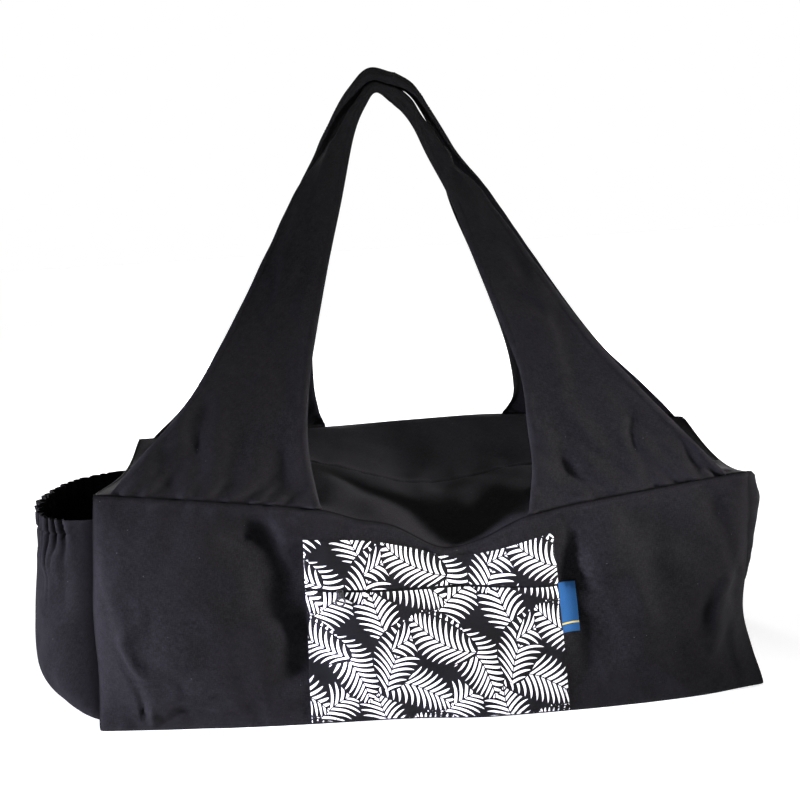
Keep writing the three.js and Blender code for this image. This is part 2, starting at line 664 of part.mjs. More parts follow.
addPiece("front_panel", facePanel(FRONT, columnStops), CANVAS);
addPiece("back_panel", facePanel(BACK, backStops), CANVAS);
addPiece("base_panel", basePanel(), CANVAS);
SIDES.forEach((side) => addPiece(`end_panel_${side}`, endPanel(side), CANVAS));
addPiece("top_panel_front", topPanel(FRONT), CANVAS);
addPiece("top_panel_back", topPanel(BACK), CANVAS);
STRAPS.forEach((leg) => addPiece(leg.name, strapLeg(leg), CANVAS));
addPiece("pocket_panel", pocketPanel(), PRINT);
addPiece("pocket_band", pocketBand(), PRINT);
addZipPull();
addPiece("label_tab", labelTab(), LABEL);
addPiece("side_pocket", sidePocket(), CANVAS);

const kitBag = new THREE.Group();
kitBag.add(bag);

export default kitBag;
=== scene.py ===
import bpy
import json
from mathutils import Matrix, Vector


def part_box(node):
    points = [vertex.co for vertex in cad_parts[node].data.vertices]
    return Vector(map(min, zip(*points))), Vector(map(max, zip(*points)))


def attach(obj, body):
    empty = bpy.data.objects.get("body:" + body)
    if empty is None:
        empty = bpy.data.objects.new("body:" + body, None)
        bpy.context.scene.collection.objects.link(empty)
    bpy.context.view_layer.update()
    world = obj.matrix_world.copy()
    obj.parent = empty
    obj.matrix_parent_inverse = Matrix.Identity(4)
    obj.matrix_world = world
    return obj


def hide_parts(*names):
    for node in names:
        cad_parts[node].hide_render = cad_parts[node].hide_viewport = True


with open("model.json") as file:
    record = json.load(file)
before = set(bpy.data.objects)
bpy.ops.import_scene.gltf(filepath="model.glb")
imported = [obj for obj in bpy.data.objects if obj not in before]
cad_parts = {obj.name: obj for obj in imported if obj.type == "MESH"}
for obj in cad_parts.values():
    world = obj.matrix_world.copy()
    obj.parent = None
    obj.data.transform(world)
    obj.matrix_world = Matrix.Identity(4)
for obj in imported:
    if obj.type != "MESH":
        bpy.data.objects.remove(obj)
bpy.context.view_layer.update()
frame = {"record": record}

import json
import math
from functools import partialmethod

import bpy
import numpy as np
from mathutils import Matrix, Vector

# Kit bag in black cotton canvas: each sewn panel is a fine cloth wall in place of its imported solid.
# Sizes are millimetres in the bag's own frame: x along the bag, y away from its front, z up from its base.
MM = 0.001
BASE_FACE = next(m for m in frame["record"]["mounts"] if m["name"] == "base_face")
BASE_AT = np.array(BASE_FACE["pos_m"]) / MM

HALF_DEPTH = 125
HALF_LENGTH = 338
WALL = 2.0
POCKET_WALL = 1.5
GAP = 0.3  # between sewn pieces
EDGE_GAP = 0.7  # between panels' edges
TOP_DIP = 45  # from the ends
ZIP_Y = 8  # line of the top's concealed zip
FRONT_BULGE = 26
BACK_BULGE = 24
CREASE_SOFTNESS = 9
END_SAG = {"left": 8, "right": 24}  # of an end panel's top edge
END_ROUND = {"left": 1.5, "right": 0.4}  # power of its swell in plan
END_BACK = {"left": 1, "right": 0.4}  # share of the swell left at the back
LEAN = -0.007  # of upright lines
LEAN_TURN = -0.00025  # change of the lean, per mm along the bag
BULGE_TO_ENDS = 2.5  # powers by which bulge and folds fade
FOLDS_TO_ENDS = 6
FOLDS_TO_TOP = 5
TOP_FOLDS_TO_ENDS = 4
ROW_TILT = -0.00035  # rise of the rows, per mm along the bag
STRAIGHT_ZONE = 200  # inside this, columns stand upright
OUTWARD = {"left": -1, "right": 1}
ALL_EDGES = ("bottom", "top", "left", "right")

# Printed pocket, label and slider on the front
POCKET_LEFT = -123
POCKET_RIGHT = 133
POCKET_BOTTOM = 3
POCKET_ZIP_Z = 136  # lower edge of the band
POCKET_PUFF = 7
POCKET_SINK = 0.2  # of its seams
BAND_LIFT = 1.5  # of its lower edge
ZIP_SHOWN = 3.2
LABEL_RIGHT = 151
LABEL_BOTTOM = 85
LABEL_THICKNESS = 1.2
LABEL_SEWN = 3
LABEL_CURL = 2.5
LABEL_WAVE = 11
LABEL_MIDDLE = 26
STRIPE_AT = 21.5  # from the label's middle
STRIPE_HALF = 0.8
SLIDER_X = -88
SLIDER_HALF = 3.4
SLIDER_HEIGHT = 8
SLIDER_BACK = 1.2
SLIDER_CUT = 1.2
BRIDGE_HALF = 1.3
BRIDGE_SPAN = (7.6, 1.2)  # below the slider's top
BRIDGE_DEPTH = 1.3
BRIDGE_CUT = 0.5
BEVEL = 0.5
BEVEL_SHARE = 0.86
RING_RADIUS = 4.4
RING_WIRE = 1.0
RING_DROP = 10.6
RING_BACK = 1.4
RING_TILT = 0.12
RING_SIDES = 10
RING_TURNS = 36

# Gathered pocket on the left end
SIDE_POCKET_SEAMS = (0.06, 0.94)
SIDE_POCKET_BOTTOM = 5
SIDE_POCKET_RIM = 215
SIDE_POCKET_REACH = 95
SIDE_POCKET_GIRTH = 300
SIDE_POCKET_SEWN = 0.025
SIDE_POCKET_FOOT = 0.1
SIDE_POCKET_ROUND = 0.38
GATHERS = 9
GATHER_DEPTH = 2.4
GATHER_SHARE = 0.3
PLEAT_PITCH = 11.5
PLEAT_DEPTH = 5.4
PLEAT_REACH = (42, 20)  # down from the rim, and how much that varies
PLEAT_LEAST = 12
PLEAT_SHARP = 1.4
PLEAT_WANDER = 3
PLEAT_WAVES = (40, 22)  # wavelengths of wander and reach
ELASTIC_CASING = 15
CASING_GROOVE = 1.2
CASING_WIDTH = 1.6
HEM = 0.9
HEM_FADE = 2

# Seam heights along the bag, and the body's outline by share of its height
FRONT_TOP = {
    "x": [-334, -210, -98, -65, -30, 16, 54, 102, 220, 345],
    "z": [246, 232, 216, 205, 196, 171, 176, 196, 213, 226],
}
BACK_TOP = {"x": [-334, -100, 6, 110, 346], "z": [248, 246, 248, 248, 230]}
ZIP_TOP = {"x": [-334, -194, -113, 5, 115, 225, 345], "z": [240, 241, 233, 202, 214, 223, 208]}
BAND_TOP = {"x": [-335, -119, -56, -16, 24, 64, 130, 344], "z": [198, 189, 184, 174, 162, 165, 179, 180]}
BODY_ENDS = {
    "share": [0, 0.14, 0.35, 0.65, 1],
    "left": [338, 340, 341, 331, 319],
    "right": [338, 334, 328, 325, 325],
}
FULLNESS = {"share": [0, 0.35, 0.7, 1], "amount": [0.85, 1.1, 0.9, 0.4]}
TURN_BACK = {
    "share": [0, 0.03, 0.12, 0.3, 0.55, 0.8, 1],
    "left": [318, 312, 295, 302, 313, 317, 320],
    "right": [312, 302, 281, 288, 305, 318, 325],
    "slope": [0, 0.04, 0.35, 0.75, 0.6, 0.2, 0],
}
END_SWELL = {
    "share": [0, 0.2, 0.4, 0.65, 0.85, 1],
    "left": [0, -10, -18, -20, -14, -6],
    "right": [0, -4, 5, 22, 29, 18],
}
SIDE_POCKET_SWELL = {
    "share": [0, 0.01, 0.03, 0.07, 0.12, 0.2, 0.4, 0.8, 0.9, 1],
    "amount": [0, 0.3, 0.52, 0.74, 0.88, 0.96, 1, 1, 0.97, 0.96],
}
# Rows of the front and back: heights up to the zip line, then even steps to the band's top and to the seam
LOWER_ROWS = [0, POCKET_BOTTOM, 28, 54, LABEL_BOTTOM, 110, POCKET_ZIP_Z]
UPPER_ROWS = [148, 164, 180, 205, 230]  # usual heights above the zip line
SEAM_ROWS = [0.05, 0.1, 0.16, 0.24]  # more rows just below the front's top seam
ZIP_ROW = len(LOWER_ROWS) - 1
BAND_ROW = ZIP_ROW + 3
TOP_ROW = BAND_ROW + 2

# Folds: a line from x0, z0 to x1, z1, its width, and its depth into the bag; the top's have y in place of z
FRONT_FOLDS = [
    (132, 187, 151, 56, 17, 9),
    (165, 196, 207, 65, 24, -7),
    (-123, 198, -139, 63, 17, 5),
    (-15, 200, 43, 129, 24, 7),
    (-288, 77, -235, 20, 16, 4),
    (60, 0, 270, 0, 60, -11),
]
FRONT_CREASES = [
    (-245, 165, -250, 75, 62, -9),
    (-162, 192, -116, 72, 28, 14),
    (-134, 196, -136, 125, 13, -5),
    (-304, 98, -266, 28, 7, -4),
    (-318, 82, -282, 20, 6, 3.5),
    (-296, 60, -250, 16, 5, 3),
    (-262, 36, -150, 13, 6, -2),
    (-240, 22, -125, 8, 5, 2),
    (-306, 215, -296, 110, 11, -2.5),
    (-322, 200, -312, 105, 7, 1.5),
    (303, 112, 276, 48, 8, -5),
    (316, 120, 303, 62, 8, 4),
    (299, 84, 328, 26, 7, -4),
    (281, 110, 258, 55, 10, 2.5),
    (290, 205, 302, 140, 12, 2.5),
    (225, 30, 300, 12, 8, -2),
    (146, 192, 164, 110, 17, 5),
    (152, 96, 150, 48, 17, -4),
    (180, 196, 206, 100, 20, -5),
]
BACK_FOLDS = [
    (-115, 228, -148, 74, 24, 7),
    (130, 222, 162, 76, 24, 7),
]
TOP_FOLDS = [
    (-109, -25, -39, -115, 18, -6),
    (-119, -95, -79, -125, 18, 10),
    (66, -60, 116, -120, 20, 8),
    (-24, 110, -4, 10, 26, 6),
]
STRAP_FOLDS = {
    "strap_front_left": [
        (-245, 309, -250, 245, 9, 2.5),
        (-215, 320, -222, 245, 9, 3),
        (-196, 325, -200, 240, 10, -2),
        (-120, 320, -112, 225, 14, -3),
        (-140, 420, -128, 320, 16, 3),
        (-84, 530, -122, 400, 11, 4),
        (-62, 560, -92, 490, 5, -2),
        (-104, 500, -140, 400, 6, -2),
    ],
    "strap_front_right": [
        (126, 276, 162, 228, 13, -4),
        (150, 262, 196, 214, 16, 3),
        (140, 300, 205, 225, 12, -3),
        (213, 272, 228, 221, 9, 4),
        (255, 268, 268, 228, 9, 4),
        (150, 390, 168, 320, 15, 3),
        (62, 530, 124, 400, 10, 4),
        (48, 545, 84, 470, 5, -2),
    ],
    "strap_back_left": [(-225, 300, -240, 262, 10, 2.5)],
    "strap_back_right": [(215, 300, 240, 255, 10, 2.5)],
}

# Strap legs from the body seam to the seam at the top: middle, half width, and turn and fold in degrees
FRONT_LEFT_LEG = [
    (-201, -125, 230, 104, 172.6, 0),
    (-189, -115, 256, 87, 167.6, 0),
    (-167, -101, 303, 62, 160.6, 0),
    (-142, -82, 368, 46, 151.6, 8),
    (-110, -57, 457, 35, 150.6, 32),
    (-87, -38, 525, 31, 149.6, 60),
    (-57, -18, 584, 17, 146.6, 95),
    (-37, -6, 613, 13, 134.6, 140),
    (-21, 0, 629, 15, 106.6, 170),
    (1.85, 0, 624, 21, 73.6, 175),
]
FRONT_RIGHT_LEG = [
    (203, -125, 208, 101, 7.1, 0),
    (192, -115, 246, 81, 7.6, 0),
    (169, -101, 294, 60, 12.6, 0),
    (143, -86, 351, 40, 22.6, 8),
    (97, -59, 449, 28, 30.6, 32),
    (69, -40, 516, 22.5, 34.6, 62),
    (45, -21, 561, 19, 35.6, 95),
    (29, -8, 589, 16, 38.6, 140),
    (18, 0, 610, 20, 50.6, 170),
    (2.15, 0, 624, 21, 73.6, 175),
]
BACK_LEFT_LEG = [
    (-201, 125, 247, 101, 179.6, 0),
    (-183, 112, 279, 78, 174.6, 0),
    (-164, 99, 322, 58, 164.6, 0),
    (-141, 80, 382, 42, 152.6, 8),
    (-111, 56, 463, 32, 150.6, 32),
    (-88, 38, 529, 28, 149.6, 60),
    (-63, 18, 594, 20, 146.6, 95),
    (-43, 6, 626, 18, 134.6, 140),
    (-24, 0, 642, 20, 106.6, 170),
    (1.85, 0, 637, 20, 73.6, 175),
]
BACK_RIGHT_LEG = [
    (213, 125, 242, 103, -5.4, 0),
    (199, 112, 274, 77, 1.6, 0),
    (173, 99, 317, 54, 10.6, 0),
    (146, 82, 369, 40, 22.6, 8),
    (105, 59, 454, 30, 30.6, 32),
    (74, 40, 519, 25, 34.6, 60),
    (51, 20, 568, 11, 35.6, 95),
    (34, 6, 601, 10, 38.6, 140),
    (21, 0, 623, 15, 50.6, 170),
    (2.15, 0, 637, 20, 73.6, 175),
]
OPEN_BEND = 34  # radius of a strap's fold where it opens
CLOSED_FOLD = math.radians(80)
FRONT_BEND = 6  # where it is closed; the front strap is inside
BACK_BEND = 11
FOOT_PLEATS = [(0.22, 0.06, 3), (0.48, 0.08, 5), (0.78, 0.09, 8)]  # place, width and depth
PLEAT_START = 0.5
PLEAT_END = 2.6
FOOT_CREASES = 0.3
STRAP_RELIEF = 0.7
STRAP_TAUT = (0.75, 3, 4)  # relief lost, from which section, over how many

# Camera of the photograph
CAMERA_AT = (-41.2, -1257.5, 523.2)
CAMERA_PITCH = 10.234
CAMERA_YAW = 1.305
CAMERA_ROLL = -3.531
FOCAL_PIXELS = 1190
FRAME_PIXELS = 800
SENSOR = 36.0

# Cloth relief: soft waves by wavelength and height, and over what lengths they and the front's creases
# fade out at its ends, base and top
GRAIN = [(120, 1.1), (40, 0.5)]
GRAIN_SEED = 11
WAVE_SPREAD = (0.7, 1.5)
FEW_WAVES = 8
WAVE_FADE = (40, 30, 35)
CREASE_FADE = (14, 9, 26)
SLIDER_FLAT = 30
FOLD_WAVER = 5
FOLD_WAVE = 70
DIMPLE = 0.35  # of the base
DIMPLE_WAVE = 45
DIMPLE_LIMIT = 1.2

# Corner seams at the ends: how far their cloth is tucked in, over what reach, and how they waver
CORNER_TUCK = 3
CORNER_REACH = 13
CORNER_FADE = 25
CORNER_WAVER = 0.5
CORNER_APART = 40
CORNER_WAVE = (95, 5, FEW_WAVES)  # wavelength, seed and number of waves
CORNER_GROOVE = 3.2
CORNER_GROOVE_WIDTH = 3.5

# Seams: the groove, the strip over the seam allowance, and gathers by wavelength, reach and height
SEAM_GROOVE = 1.6
GROOVE_WIDTH = 2.2
WELT_RISE = 1.5
WELT_WIDTH = 5.5
WELT_FADE = 3
PUCKERS = [(11, 7, 0.45), (19, 16, 0.6), (36, 34, 0.7)]
PUCKER_WAVES = 10
PUCKER_DRAWN = 0.25  # how slowly they change away from the seam
PUCKER_START = 2
WEAR_REACH = 9
# reach of the painted shade line along sewn edges
SEAM_SHADE_REACH = 1.6
STITCH_PITCH = 3.6
STITCH_LENGTH = 2.7
STITCH_RADIUS = 0.26
STITCH_SIDES = 5
STITCH_SINK = 0.4  # of the ends into the cloth, in radii
STITCH_LIFT = 0.35  # of the middle, in radii

# Meshes
RIM_ROUND = 0.12  # share of the thickness
SHARP_ANGLE = math.radians(55)
FRONT_PITCH = 3.2
PANEL_PITCH = 4.0
BASE_PITCH = 6.0
POCKET_PITCH = 2.2
LABEL_PITCH = (1.0, 1.2)
END_COLUMNS = 64
END_SAMPLES = 120
BASE_ROWS = 48
TOP_GRID = (40, 190)
STRAP_GRID = (86, 190)
SIDE_POCKET_COLUMNS = 300
SIDE_POCKET_ROWS = (22, 76)

# Printed sprigs in one repeat of the cloth, in millimetres: middle, turn in degrees, length and half width
REPEAT = (122, 104)
SPRIGS = [
    (22, 20, 35, 84, 23),
    (70, 16, 105, 76, 21),
    (104, 40, -22, 84, 23),
    (44, 64, -58, 86, 23),
    (88, 76, 62, 82, 22),
    (116, 94, 12, 72, 19),
    (8, 84, 148, 74, 20),
]
LEAFLET_PITCH = 6.2
LEAFLET_RISE = 1.05
LEAFLET_BOW = 0.02
LEAFLET_WIDTH = 0.30
MIDRIB = 0.5
SPRIG_CURVE = 0.1
SPRIG_TAPER = 0.6
SPRIG_COVER = 1.06
INK_EDGE = 0.03

# Colours, linear, and matt cloth
CANVAS_LOW = (0.0026, 0.0025, 0.0028, 1)
CANVAS_HIGH = (0.0040, 0.0039, 0.0043, 1)
CANVAS_THREAD = (0.0165, 0.0160, 0.0177, 1)
CANVAS_RUBBED = (0.020, 0.020, 0.022, 1)
LINT = (0.07, 0.07, 0.074, 1)
# painted shade: the near-black line laid along sewn edges where shade falls in the seams
SEAM_SHADE = (0.0004, 0.0004, 0.0004, 1)
PRINT_LOW = (0.0045, 0.0045, 0.005, 1)
PRINT_HIGH = (0.009, 0.009, 0.0096, 1)
PRINT_WHITE = (0.60, 0.60, 0.61, 1)
LABEL_LOW = (0.007, 0.030, 0.082, 1)
LABEL_HIGH = (0.016, 0.060, 0.152, 1)
LABEL_STRIPE = (0.38, 0.29, 0.055, 1)
STITCH_LOW = (0.002, 0.002, 0.0024, 1)
STITCH_HIGH = (0.005, 0.005, 0.0056, 1)
METAL_LOW = (0.006, 0.006, 0.0065, 1)
METAL_HIGH = (0.05, 0.05, 0.052, 1)
FLOOR_LOW = (0.84, 0.84, 0.84, 1)
FLOOR_HIGH = (0.88, 0.88, 0.88, 1)
WHITE = (1, 1, 1, 1)
STITCH_SURFACE = {"Roughness": (0.85, 0.85), "Specular IOR Level": 0.03}
METAL_SURFACE = {"Roughness": (0.25, 0.5), "Metallic": 0.85}
MATT = {"Roughness": 0.9, "Specular IOR Level": 0.02, "Sheen Weight": 0.004, "Sheen Roughness": 0.5}

# Stage, in metres: the floor's glow by distance, the world's by height, and the lights by name, place,
# target, size, power, beam in degrees and colour
FLOOR_SIZE = 9.0
FLOOR_DROP = 0.0006
FLOOR_GLOW = {"From Min": 0.9, "From Max": 2.6, "To Min": 0.45, "To Max": 0.75}
WORLD_GLOW = {"From Min": 0.22, "From Max": 0.6, "To Min": 1.0, "To Max": 0.11}
LIGHTS = [
    ("left_light", (-2.4, -0.64, -0.44), (-0.10, -0.25, -0.60), 0.6, 12.8, 20, (0.82, 0.80, 1.0)),
    ("right_light", (2.3, -0.75, 0.22), (0.28, -0.17, -0.35), 0.4, 2.9, 12, (1.0, 0.96, 0.99)),
    ("fill_light", (0.10, -0.95, 0.75), (0.08, -0.06, -0.42), 0.3, 0.11, 12, (1.0, 1.0, 0.97)),
    ("top_light", (0.0, -1.4, 0.5), (0.0, 0.0, -0.05), 0.2, 0.2, 14, (1.0, 1.0, 0.97)),
    ("back_left_light", (-1.2, 2.4, -0.2), (-0.1, 0.14, -0.5), 0.7, 60, 180, (1.0, 0.98, 1.0)),
    ("back_right_light", (1.2, 2.4, -0.2), (0.1, 0.14, -0.5), 0.7, 60, 180, (1.0, 0.98, 1.0)),
]


def lerp(a, b, t):
    return a + (b - a) * t


def smooth(t):
    t = np.clip(t, 0, 1)
    return t * t * (3 - 2 * t)


def through(keys, values):
    """A smooth curve through a table's rows."""
    keys = np.array(keys, float)
    values = np.array(values, float)
    last = len(keys) - 1
    before = np.maximum(np.arange(last + 1) - 1, 0)
    after = np.minimum(np.arange(last + 1) + 1, last)
    slope = (values[after] - values[before]) / (keys[after] - keys[before])

    def at(key):
        key = np.asarray(key, float)
        i = np.clip(np.searchsorted(keys, key, side="left") - 1, 0, last - 1)
        span = keys[i + 1] - keys[i]
        t = np.clip((key - keys[i]) / span, 0, 1)
        eased = lerp(values[i], values[i + 1], smooth(t))
        return eased + span * t * (1 - t) * ((1 - t) * slope[i] - t * slope[i + 1])

    return at


def by_side(table):
    curves = {side: through(table["share"], table[side]) for side in OUTWARD}
    return lambda x, share: np.where(x < 0, curves["left"](share), curves["right"](share))


front_top, back_top, zip_top, band_top, fullness, side_pocket_swell = (
    through(*table.values())
    for table in (FRONT_TOP, BACK_TOP, ZIP_TOP, BAND_TOP, FULLNESS, SIDE_POCKET_SWELL)
)
turn_slope = through(TURN_BACK["share"], TURN_BACK["slope"])
body_end = by_side(BODY_ENDS)
turn_line = by_side(TURN_BACK)
end_swell = by_side(END_SWELL)


def fold_depth(folds, x, z):
    total = np.zeros(np.broadcast(x, z).shape)
    for x0, z0, x1, z1, width, depth in folds:
        dx, dz = x1 - x0, z1 - z0
        length = math.hypot(dx, dz)
        along = ((x - x0) * dx + (z - z0) * dz) / length
        across = ((x - x0) * dz - (z - z0) * dx) / length
        past = np.maximum(np.maximum(-along, along - length), 0)
        total = total + depth * np.exp(-(across**2 + past**2) / width**2)
    return total


FRONT = {"top": front_top, "bulge": FRONT_BULGE, "folds": FRONT_FOLDS, "toward": -1}
BACK = {"top": back_top, "bulge": BACK_BULGE, "folds": BACK_FOLDS, "toward": 1}


def face_y(face, x, z):
    share = np.clip(z / face["top"](x), 0, 1)
    edge = np.minimum(np.abs(x) / body_end(x, share), 1)
    bulge = face["bulge"] * (1 - edge**BULGE_TO_ENDS) * fullness(share)
    beyond = np.abs(x) - turn_line(x, share)
    turned = turn_slope(share) * (beyond + np.hypot(beyond, CREASE_SOFTNESS)) / 2
    inside = (1 - edge**FOLDS_TO_ENDS) * (1 - share**FOLDS_TO_TOP)
    return face["toward"] * (HALF_DEPTH + bulge - turned - fold_depth(face["folds"], x, z) * inside)


def row_height(face, x, row):
    tilt = 1 + ROW_TILT * x
    low = np.interp(row, np.arange(ZIP_ROW + 1), LOWER_ROWS) * tilt
    band = lerp(POCKET_ZIP_Z * tilt, band_top(x), (row - ZIP_ROW) / (BAND_ROW - ZIP_ROW))
    edge = lerp(band_top(x), face["top"](x), (row - BAND_ROW) / (TOP_ROW - BAND_ROW))
    return np.where(row <= ZIP_ROW, low, np.where(row <= BAND_ROW, band, edge))


def stack(x, y, z):
    return np.stack(np.broadcast_arrays(x, y, z), axis=-1).astype(float)


def face_point(face, column, row):
    sign = np.where(column < 0, -1, 1)
    height = row_height(face, column, row)
    share = height / face["top"](column)
    away = smooth((np.abs(column) - STRAIGHT_ZONE) / (HALF_LENGTH - STRAIGHT_ZONE))
    upright = column + (LEAN + LEAN_TURN * column) * height
    x = lerp(upright, column + sign * (body_end(column, share) - HALF_LENGTH), away)
    z = row_height(face, x, row)
    inside = HALF_LENGTH - np.abs(column)
    free = smooth(height / CORNER_FADE) * smooth((face["top"](column) - height) / CORNER_FADE)
    tuck = CORNER_TUCK * free * np.maximum(1 - inside / CORNER_REACH, 0) ** 2
    sway = field(height, sign * CORNER_APART, *CORNER_WAVE)
    x = x + sign * CORNER_WAVER * free * np.exp(-inside / CORNER_REACH) * sway
    return stack(x, face_y(face, x, z) - face["toward"] * tuck, z)


def end_point(side, depth, row):
    edge = np.full(np.shape(row), OUTWARD[side] * float(HALF_LENGTH))
    front = face_point(FRONT, edge, row)
    back = face_point(BACK, edge, row)
    share = front[..., 2] / front_top(front[..., 0])
    front[..., 1] += WALL + GAP
    back[..., 1] -= WALL + GAP
    depth = np.asarray(depth, float)
    arch = np.sin(np.pi * depth)
    point = lerp(front, back, depth[..., None])
    swell = end_swell(np.array(OUTWARD[side]), share) * np.maximum(arch, 0) ** END_ROUND[side]
    point[..., 0] += OUTWARD[side] * swell * lerp(1, END_BACK[side], depth)
    point[..., 2] -= END_SAG[side] * share**2 * arch
    return point


def on_end_panel(side, depth, height):
    """Points of an end panel at a share of its depth, for a column of heights."""
    rows = np.linspace(0, TOP_ROW, END_SAMPLES)
    line = end_point(side, np.full(rows.shape, depth), rows)
    return stack(np.interp(height, line[:, 2], line[:, 0]), np.interp(height, line[:, 2], line[:, 1]), height)


def field(u, v, wavelength, seed, waves=16):
    """A smooth random field of about unit height."""
    rng = np.random.default_rng(seed)
    total = 0
    for angle, phase, stretch in rng.uniform(0, 1, (waves, 3)):
        k = 2 * np.pi / (wavelength * lerp(*WAVE_SPREAD, stretch))
        turn = 2 * np.pi * angle
        total = total + np.cos(k * (u * np.cos(turn) + v * np.sin(turn)) + 2 * np.pi * phase)
    return total / math.sqrt(waves / 2)


def lengths_along(points, axis):
    """Distance run along a grid's axis from its first line."""
    steps = np.linalg.norm(np.diff(points, axis=axis), axis=-1)
    pad = [(0, 0), (0, 0)]
    pad[axis] = (1, 0)
    return np.pad(np.cumsum(steps, axis=axis), pad)


def edge_distances(points):
    up = lengths_along(points, 0)
    right = lengths_along(points, 1)
    return {"bottom": up, "top": up[-1:] - up, "left": right, "right": right[:, -1:] - right}


def unit(vectors):
    return vectors / np.maximum(np.linalg.norm(vectors, axis=-1, keepdims=True), 1e-9)


def normals_of(points, inward):
    du = np.gradient(points, axis=1)
    dv = np.gradient(points, axis=0)
    n = unit(np.cross(du, dv))
    flip = np.sign(np.sum(n * inward, axis=-1, keepdims=True))
    return -n * np.where(flip == 0, 1, flip)


def grain_noise(u, v, seed):
    return sum(height * field(u, v, wavelength, seed + k) for k, (wavelength, height) in enumerate(GRAIN))


def pucker(along, away, seed):
    """Small gathers that run out from a seam."""
    total = 0
    for k, (wavelength, reach, height) in enumerate(PUCKERS):
        waves = field(along, PUCKER_DRAWN * away, wavelength, seed + k, PUCKER_WAVES)
        total = total + height * waves * np.exp(-away / reach)
    return total * (1 - np.exp(-away / PUCKER_START))


def seam_relief(points, edges, seed, welt=0.5, gather=0.7, groove=SEAM_GROOVE):
    """Puckers by each sewn edge, and the thicker strip where the seam allowance lies under the cloth."""
    away = edge_distances(points)
    run = {"bottom": away["left"], "top": away["left"], "left": away["bottom"], "right": away["bottom"]}
    relief = np.zeros(points.shape[:2])
    for k, edge in enumerate(edges):
        relief += gather * pucker(run[edge], away[edge], seed + 10 * k)
        relief += welt * (1 - smooth((away[edge] - WELT_WIDTH) / WELT_FADE)) * smooth(away[edge] / WELT_RISE)
        relief -= groove * np.exp(-((away[edge] / GROOVE_WIDTH) ** 2))
    return relief


def fade_at(points, edges, reach=30):
    away = edge_distances(points)
    return math.prod(smooth(away[edge] / reach) for edge in edges)


# Outer grid and outward directions of each cloth piece, for its stitching
made = {}


def quads(index, wrap=(0, 0)):
    """Faces of a grid of point numbers, which can wrap round along either axis."""
    index = np.pad(index, [(0, wrap[0]), (0, wrap[1])], "wrap")
    return np.stack([index[:-1, :-1], index[:-1, 1:], index[1:, 1:], index[1:, :-1]], -1).reshape(-1, 4)


def cloth_mesh(name, outer, inward, uv, marks, cloth):
    """A closed cloth wall: the outer grid, the same grid moved inwards, and a rounded rim."""
    material, slot, thickness = cloth
    rows, cols = outer.shape[:2]
    count = rows * cols
    inner = outer + inward * thickness
    ring = [(0, i) for i in range(cols)]
    ring += [(j, cols - 1) for j in range(1, rows)]
    ring += [(rows - 1, i) for i in range(cols - 2, -1, -1)]
    ring += [(j, 0) for j in range(rows - 2, 0, -1)]
    at = tuple(np.transpose(ring))
    next_in = tuple(np.transpose(np.clip(ring, 1, [rows - 2, cols - 2])))
    push = unit(outer[at] - outer[next_in])
    middle = (outer[at] + inner[at]) / 2 + push * thickness * RIM_ROUND
    points = np.concatenate([outer.reshape(-1, 3), inner.reshape(-1, 3), middle])
    index = np.arange(count).reshape(rows, cols)
    edge = index[at]
    rim = quads(np.stack([edge, 2 * count + np.arange(len(ring)), edge + count]), (0, 1))[:, ::-1]
    outside = quads(index)
    faces = np.concatenate([outside, outside[:, ::-1] + count, rim])
    a, b, c, d = (points[faces[:, k]] for k in range(4))
    volume = np.sum(a * np.cross(b, c)) + np.sum(a * np.cross(c, d))
    if volume < 0:
        faces = faces[:, ::-1]

    def everywhere(values):
        face = values.reshape(count, -1)
        return np.concatenate([face, face, values[at].reshape(len(ring), -1)])

    flat_marks = {key: everywhere(mark).ravel() for key, mark in marks.items()}
    return mesh_object(name, points, faces.tolist(), material, everywhere(uv), flat_marks)


def mesh_object(name, points, faces, material, uv=None, marks=()):
    """A mesh piece from points in the bag's own frame, in millimetres."""
    mesh = bpy.data.meshes.new(name)
    mesh.from_pydata(((points + BASE_AT) * MM).tolist(), [], faces)
    mesh.update()
    if uv is not None:
        layer = mesh.uv_layers.new(name="cloth")
        corner = np.zeros(len(mesh.loops), np.int32)
        mesh.loops.foreach_get("vertex_index", corner)
        layer.data.foreach_set("uv", (uv[corner] * MM).astype(np.float32).ravel())
    for key, mark in dict(marks).items():
        attribute = mesh.attributes.new(key, "FLOAT", "POINT")
        attribute.data.foreach_set("value", mark.astype(np.float32))
    mesh.shade_smooth()
    mesh.set_sharp_from_angle(angle=SHARP_ANGLE)
    piece = bpy.data.objects.new(name, mesh)
    bpy.context.scene.collection.objects.link(piece)
    mesh.materials.append(material)
    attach(piece, "root")
    return piece


def near_edges(points, edges, reach):
    """One at the named edges of a grid, and less away from them."""
    away = edge_distances(points)
    marks = [np.exp(-away[edge] / reach) for edge in edges]
    return np.max([np.zeros(points.shape[:2]), *marks], axis=0)


def add_cloth(node, outer, inward, uv, sewn, cloth):
    # the 'seam' mark is painted shade: one at sewn edges, fading away from them
    marks = {"wear": near_edges(outer, ALL_EDGES, WEAR_REACH), "seam": near_edges(outer, sewn, SEAM_SHADE_REACH)}
    piece = cloth_mesh(node + "_cloth", outer, inward, uv, marks, cloth)
    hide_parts(node)
    made[node] = (outer, normals_of(outer, inward))


# Materials
def new_material(name):
    material = bpy.data.materials.new(name)
    material.use_nodes = True
    tree = material.node_tree
    return material, tree, tree.nodes["Principled BSDF"]


def plug(tree, node, inputs):
    """Sets a node's inputs, each to a value or to the output of another node."""
    for key, value in dict(inputs).items():
        value = getattr(value, "socket", value)
        if isinstance(value, bpy.types.NodeSocket):
            tree.links.new(value, node.inputs[key])
        else:
            node.inputs[key].default_value = value


def add_node(tree, kind, inputs=(), **settings):
    node = tree.nodes.new("ShaderNode" + kind)
    for key, value in settings.items():
        setattr(node, key, value)
    plug(tree, node, inputs)
    return node


